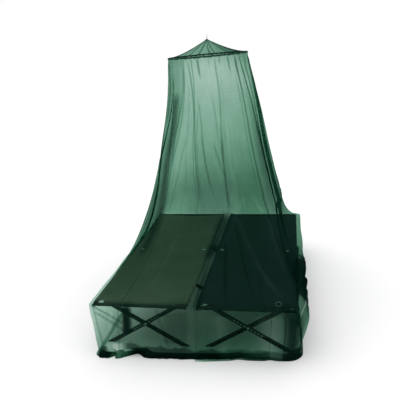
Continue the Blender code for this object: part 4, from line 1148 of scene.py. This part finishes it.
def knot_surface():
    """The tie's flat knot: an ellipsoid whose radius carries three turns of a lengthwise groove."""
    up = np.linspace(0.0, math.pi, 25)[:, None]
    round_it = np.linspace(0.0, 2 * math.pi, 41)[None, :]
    half_x, half_y, half_z = KNOT_HALF_SIZES
    size = 1 + KNOT_GROOVE * np.sin(3 * round_it + 4 * up) * np.sin(up)
    x = half_x * size * np.sin(up) * np.cos(round_it)
    y = half_y * size * np.sin(up) * np.sin(round_it)
    z = half_z * np.cos(up) + 0 * round_it
    turn = math.radians(KNOT_AZIMUTH)
    reach = HOOP_RADIUS + KNOT_OUT
    place = np.stack(
        (
            reach * math.sin(turn) + x * math.cos(turn) - y * math.sin(turn),
            -reach * math.cos(turn) + x * math.sin(turn) + y * math.cos(turn),
            z - KNOT_LOW,
        ),
        axis=-1,
    )
    return tilted(place)


def cap_surface():
    """The apex cap: a small cloth cone, its radius and height from a profile, with eight stitched tucks."""
    rows = smooth_rows(CAP_PROFILE, 4)
    turn = np.linspace(0.0, 2 * math.pi, 97)[None, :]
    tuck = 1 - CAP_TUCK * np.abs(np.cos(turn * 4)) ** 6
    reach, height = rows[:, :1] * tuck, rows[:, 1:] + 0 * turn
    x = HOOP_CENTRE[0] + reach * np.sin(turn)
    y = HOOP_CENTRE[1] - reach * np.cos(turn)
    return np.stack((x, y, APEX_HEIGHT + height), axis=-1)


def loop_surface():
    """The hanging loop: a ring of two-ply cord, its section a circle with two grooves that turn along it."""
    along = np.linspace(0.0, 2 * math.pi, 145)[:, None]
    round_it = np.linspace(0.0, 2 * math.pi, 17)[None, :]
    radius = LOOP_CORD * (0.90 + 0.10 * np.cos(2 * (round_it + 6 * along)))
    low = APEX_HEIGHT + LOOP_GAP + LOOP_CORD
    centre_y, centre_z = LOOP_HALF_WIDTH * np.cos(along), LOOP_HALF_HEIGHT * np.sin(along)
    out_y, out_z = np.cos(along), np.sin(along)
    y = HOOP_CENTRE[1] + centre_y + radius * np.cos(round_it) * out_y
    z = low + LOOP_HALF_HEIGHT + centre_z + radius * np.cos(round_it) * out_z
    x = HOOP_CENTRE[0] - radius * np.sin(round_it) + 0 * along
    return np.stack((x, y, z), axis=-1)[:, ::-1]


def canvas_surface(cot):
    """A cot's canvas: an arc round each rail and a parabola between, with slack creases from the rails.

    Across it t runs from 0 to 1 between the rails, and the sag is 4 t (1 - t) times its depth."""
    look = bpy.context.scene.canopy_cots
    reach = RAIL_RADIUS + CANVAS_GAP + CANVAS_THICKNESS / 2
    rail = COT_HEIGHT - CANVAS_THICKNESS - CANVAS_GAP - RAIL_RADIUS
    turn = np.radians(np.linspace(CANVAS_WRAP, 90.0, WRAP_POINTS))
    left = np.stack((cot.x_from + reach * np.cos(turn), rail + reach * np.sin(turn)), axis=1)
    share = np.linspace(0.0, 1.0, SAG_POINTS)[1:-1]
    sagging = rail + reach - 4 * CANVAS_SAG * share * (1 - share)
    middle = np.stack((cot.x_from + (cot.x_to - cot.x_from) * share, sagging), axis=1)
    right = left[::-1] * (-1.0, 1.0) + (cot.x_from + cot.x_to, 0.0)
    section = np.concatenate((left, middle, right))
    between = np.concatenate((np.zeros(WRAP_POINTS), share, np.ones(WRAP_POINTS)))[None, :]
    y = np.linspace(COT_LENGTH / 2 - CANVAS_END, -COT_LENGTH / 2 + CANVAS_END, CANVAS_ROWS)[:, None]
    bulge = 4 * between * (1 - between)
    crease = np.sin(y * 31 + 5 * between + cot.seed) * np.sin(y * 11 + cot.seed * 2) * bulge
    crease = crease + 0.6 * np.sin(y * 73 - 9 * between + cot.seed * 3) * bulge * (1 - bulge) * 2
    x = section[None, :, 0] + 0 * y
    z = section[None, :, 1] + look.pucker * crease * bulge
    points = np.stack((x, y + 0 * x, z), axis=-1)
    end = np.minimum(y.max() - y, y - y.min())
    hem = HEM_SHADE + (1 - HEM_SHADE) * soft_step(end, look.hem - HEM_EDGE, look.hem)
    stitch = 1 - STITCH_SHADE * np.exp(-(((end - look.hem) / STITCH_WIDTH) ** 2))
    return points, np.broadcast_to(hem * stitch, points.shape[:2])


def canvas_piece(cot):
    """One canvas as a sheet with its weave, which stands for its CAD sheet."""
    look = bpy.context.scene.canopy_cots
    points, hem = canvas_surface(cot)
    chart = cloth_chart(points)
    colour = look.olive if cot.slot == "canvas_olive" else look.teal
    material = shared_material(cot.slot, canvas_material, colour)
    piece = cloth_piece(cot.name + "_cloth", points, chart, hem, material, attribute_name="hem")
    wall = piece.modifiers.new("Thickness", "SOLIDIFY")
    wall.thickness = CANVAS_THICKNESS
    wall.offset = 0.0
    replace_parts(piece, cot.name + "_canvas")
    return piece


# ---------------------------------------------------------------- operators


class CANOPY_OT_skirt(bpy.types.Operator):
    """Make the six sheer panels of the skirt"""

    bl_idname = "canopy.skirt"
    bl_label = "Skirt"

    def execute(self, context):
        for panel in PANELS:
            skirt_panel(panel)
        return {"FINISHED"}


class CANOPY_OT_roof(bpy.types.Operator):
    """Make the six gores of the roof"""

    bl_idname = "canopy.roof"
    bl_label = "Roof"

    def execute(self, context):
        ends = ROOF_SEAMS[1:] + (ROOF_SEAMS[0] + 360.0,)
        for number, (first, last) in enumerate(zip(ROOF_SEAMS, ends), 1):
            roof_gore(number, first, last)
        return {"FINISHED"}


class CANOPY_OT_band(bpy.types.Operator):
    """Make the gathered band round the hoop, and its tie"""

    bl_idname = "canopy.band"
    bl_label = "Band and tie"

    def execute(self, context):
        points = sleeve_surface()
        sleeve = band_piece("net_band", points)
        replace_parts(sleeve, "hoop_sleeve")
        wall = sleeve.modifiers.new("Thickness", "SOLIDIFY")
        wall.thickness = BAND_THICKNESS
        wall.offset = 0.0
        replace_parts(band_piece("net_tie", knot_surface()), "hoop_tie")
        return {"FINISHED"}


class CANOPY_OT_apex(bpy.types.Operator):
    """Make the apex cap and the hanging loop"""

    bl_idname = "canopy.apex"
    bl_label = "Apex cap and loop"

    def execute(self, context):
        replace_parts(band_piece("net_cap", cap_surface()), "apex_cap")
        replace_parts(band_piece("net_loop", loop_surface()), "hanging_loop")
        return {"FINISHED"}


class CANOPY_OT_canvases(bpy.types.Operator):
    """Make the canvases of the two cots"""

    bl_idname = "canopy.canvases"
    bl_label = "Canvases"

    def execute(self, context):
        for cot in COTS:
            canvas_piece(cot)
        return {"FINISHED"}


class CANOPY_OT_finishes(bpy.types.Operator):
    """Give the rails, legs, plates, hook and hoop their finishes; the legs' rivet heads are painted highlights
    """

    bl_idname = "canopy.finishes"
    bl_label = "Hard finishes"

    def execute(self, context):
        for name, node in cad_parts.items():
            slot = HARD_SLOTS.get(name)
            if slot is None and any(word in name for word in BARE):
                slot = "bare_steel"
            elif slot is None and any(word in name for word in PAINTED):
                slot = "painted_steel"
            if slot is not None:
                look = shared_material(slot, hard_material, FINISHES[slot], slot == "painted_steel")
                node.data.materials.clear()
                node.data.materials.append(look)
        return {"FINISHED"}


class CANOPY_OT_stage(bpy.types.Operator):
    """Lay the plain floor, light it softly and place the camera"""

    bl_idname = "canopy.stage"
    bl_label = "Stage"

    def execute(self, context):
        scene = context.scene
        look = scene.canopy_stage
        made, tree, out = new_material("floor")
        where = add_node(tree, "ShaderNodeTexCoord", "Object")
        colour = tinted(tree, look.floor, patches(tree, where, FLOOR_PATCH))
        paint = add_node(tree, "ShaderNodeBsdfDiffuse", 0, {"Color": colour})
        away = add_node(tree, "ShaderNodeVectorMath", "Value", {0: where}, operation="LENGTH")
        reach = {"Value": away, "From Min": look.near, "From Max": look.far}
        fade = add_node(tree, "ShaderNodeMapRange", "Result", reach, interpolation_type="SMOOTHERSTEP")
        clear = add_node(tree, "ShaderNodeBsdfTransparent", 0)
        surface = add_node(tree, "ShaderNodeMixShader", 0, {0: fade, 1: paint, 2: clear})
        tree.links.new(surface, out.inputs["Surface"])
        data = bpy.data.meshes.new("floor")
        half = FLOOR_REACH
        corners = [(-half, -half, 0.0), (half, -half, 0.0), (half, half, 0.0), (-half, half, 0.0)]
        data.from_pydata(corners, [], [(0, 1, 2, 3)])
        data.materials.append(made)
        floor = bpy.data.objects.new("floor", data)
        scene.collection.objects.link(floor)
        world = bpy.data.worlds.new("surroundings")
        world.use_nodes = True
        sky = world.node_tree.nodes["Background"]
        sky.inputs["Color"].default_value = (1.0, 1.0, 1.0, 1.0)
        sky.inputs["Strength"].default_value = look.sky
        scene.world = world
        lamp = bpy.data.lights.new("lamp", "SUN")
        lamp.energy = look.lamp
        lamp.angle = math.radians(LAMP_ANGLE)
        lit = bpy.data.objects.new("lamp", lamp)
        lit.location = LAMP_PLACE
        lit.rotation_euler = [math.radians(angle) for angle in LAMP_TURN]
        scene.collection.objects.link(lit)
        forward = Vector((
            -math.sin(look.yaw) * math.cos(look.pitch),
            math.cos(look.yaw) * math.cos(look.pitch),
            -math.sin(look.pitch),
        ))
        level = Vector((math.cos(look.yaw), math.sin(look.yaw), 0.0))
        upright = level.cross(forward)
        right = level * math.cos(look.roll) + upright * math.sin(look.roll)
        up = -level * math.sin(look.roll) + upright * math.cos(look.roll)
        eye = bpy.data.cameras.new("camera")
        eye.lens = look.lens
        eye.sensor_width = SENSOR_WIDTH
        eye.clip_end = 2 * FLOOR_REACH
        camera = bpy.data.objects.new("camera", eye)
        turn = Matrix((right, up, -forward)).transposed().to_4x4()
        camera.matrix_world = Matrix.Translation(look.place) @ turn
        scene.collection.objects.link(camera)
        scene.camera = camera
        scene.view_settings.view_transform = "Standard"
        scene.cycles.transparent_max_bounces = CLEAR_BOUNCES
        return {"FINISHED"}


class CANOPY_PT_panel(bpy.types.Panel):
    """The canopy's pieces and sizes"""

    bl_idname = "CANOPY_PT_panel"
    bl_label = "Mosquito net canopy"
    bl_space_type = "VIEW_3D"
    bl_region_type = "UI"
    bl_category = "Canopy"

    def draw(self, context):
        for step in OPERATORS:
            self.layout.operator(step.bl_idname)
        for name, group in GROUPS.items():
            box = self.layout.box()
            for size in group.__annotations__:
                box.prop(getattr(context.scene, name), size)


GROUPS = {"canopy_net": CanopyNet, "canopy_cots": CanopyCots, "canopy_stage": CanopyStage}
OPERATORS = (
    CANOPY_OT_skirt,
    CANOPY_OT_roof,
    CANOPY_OT_band,
    CANOPY_OT_apex,
    CANOPY_OT_canvases,
    CANOPY_OT_finishes,
    CANOPY_OT_stage,
)
CLASSES = (*GROUPS.values(), *OPERATORS, CANOPY_PT_panel)


def register():
    """Register the classes and hang the property groups on the scene."""
    for each in CLASSES:
        bpy.utils.register_class(each)
    for name, group in GROUPS.items():
        setattr(bpy.types.Scene, name, bpy.props.PointerProperty(type=group))


def unregister():
    """Take the property groups and classes away again."""
    for name in GROUPS:
        delattr(bpy.types.Scene, name)
    for each in reversed(CLASSES):
        bpy.utils.unregister_class(each)


def main():
    register()
    for step in OPERATORS:
        group, name = step.bl_idname.split(".")
        getattr(getattr(bpy.ops, group), name)()


if __name__ == "__main__":
    main()
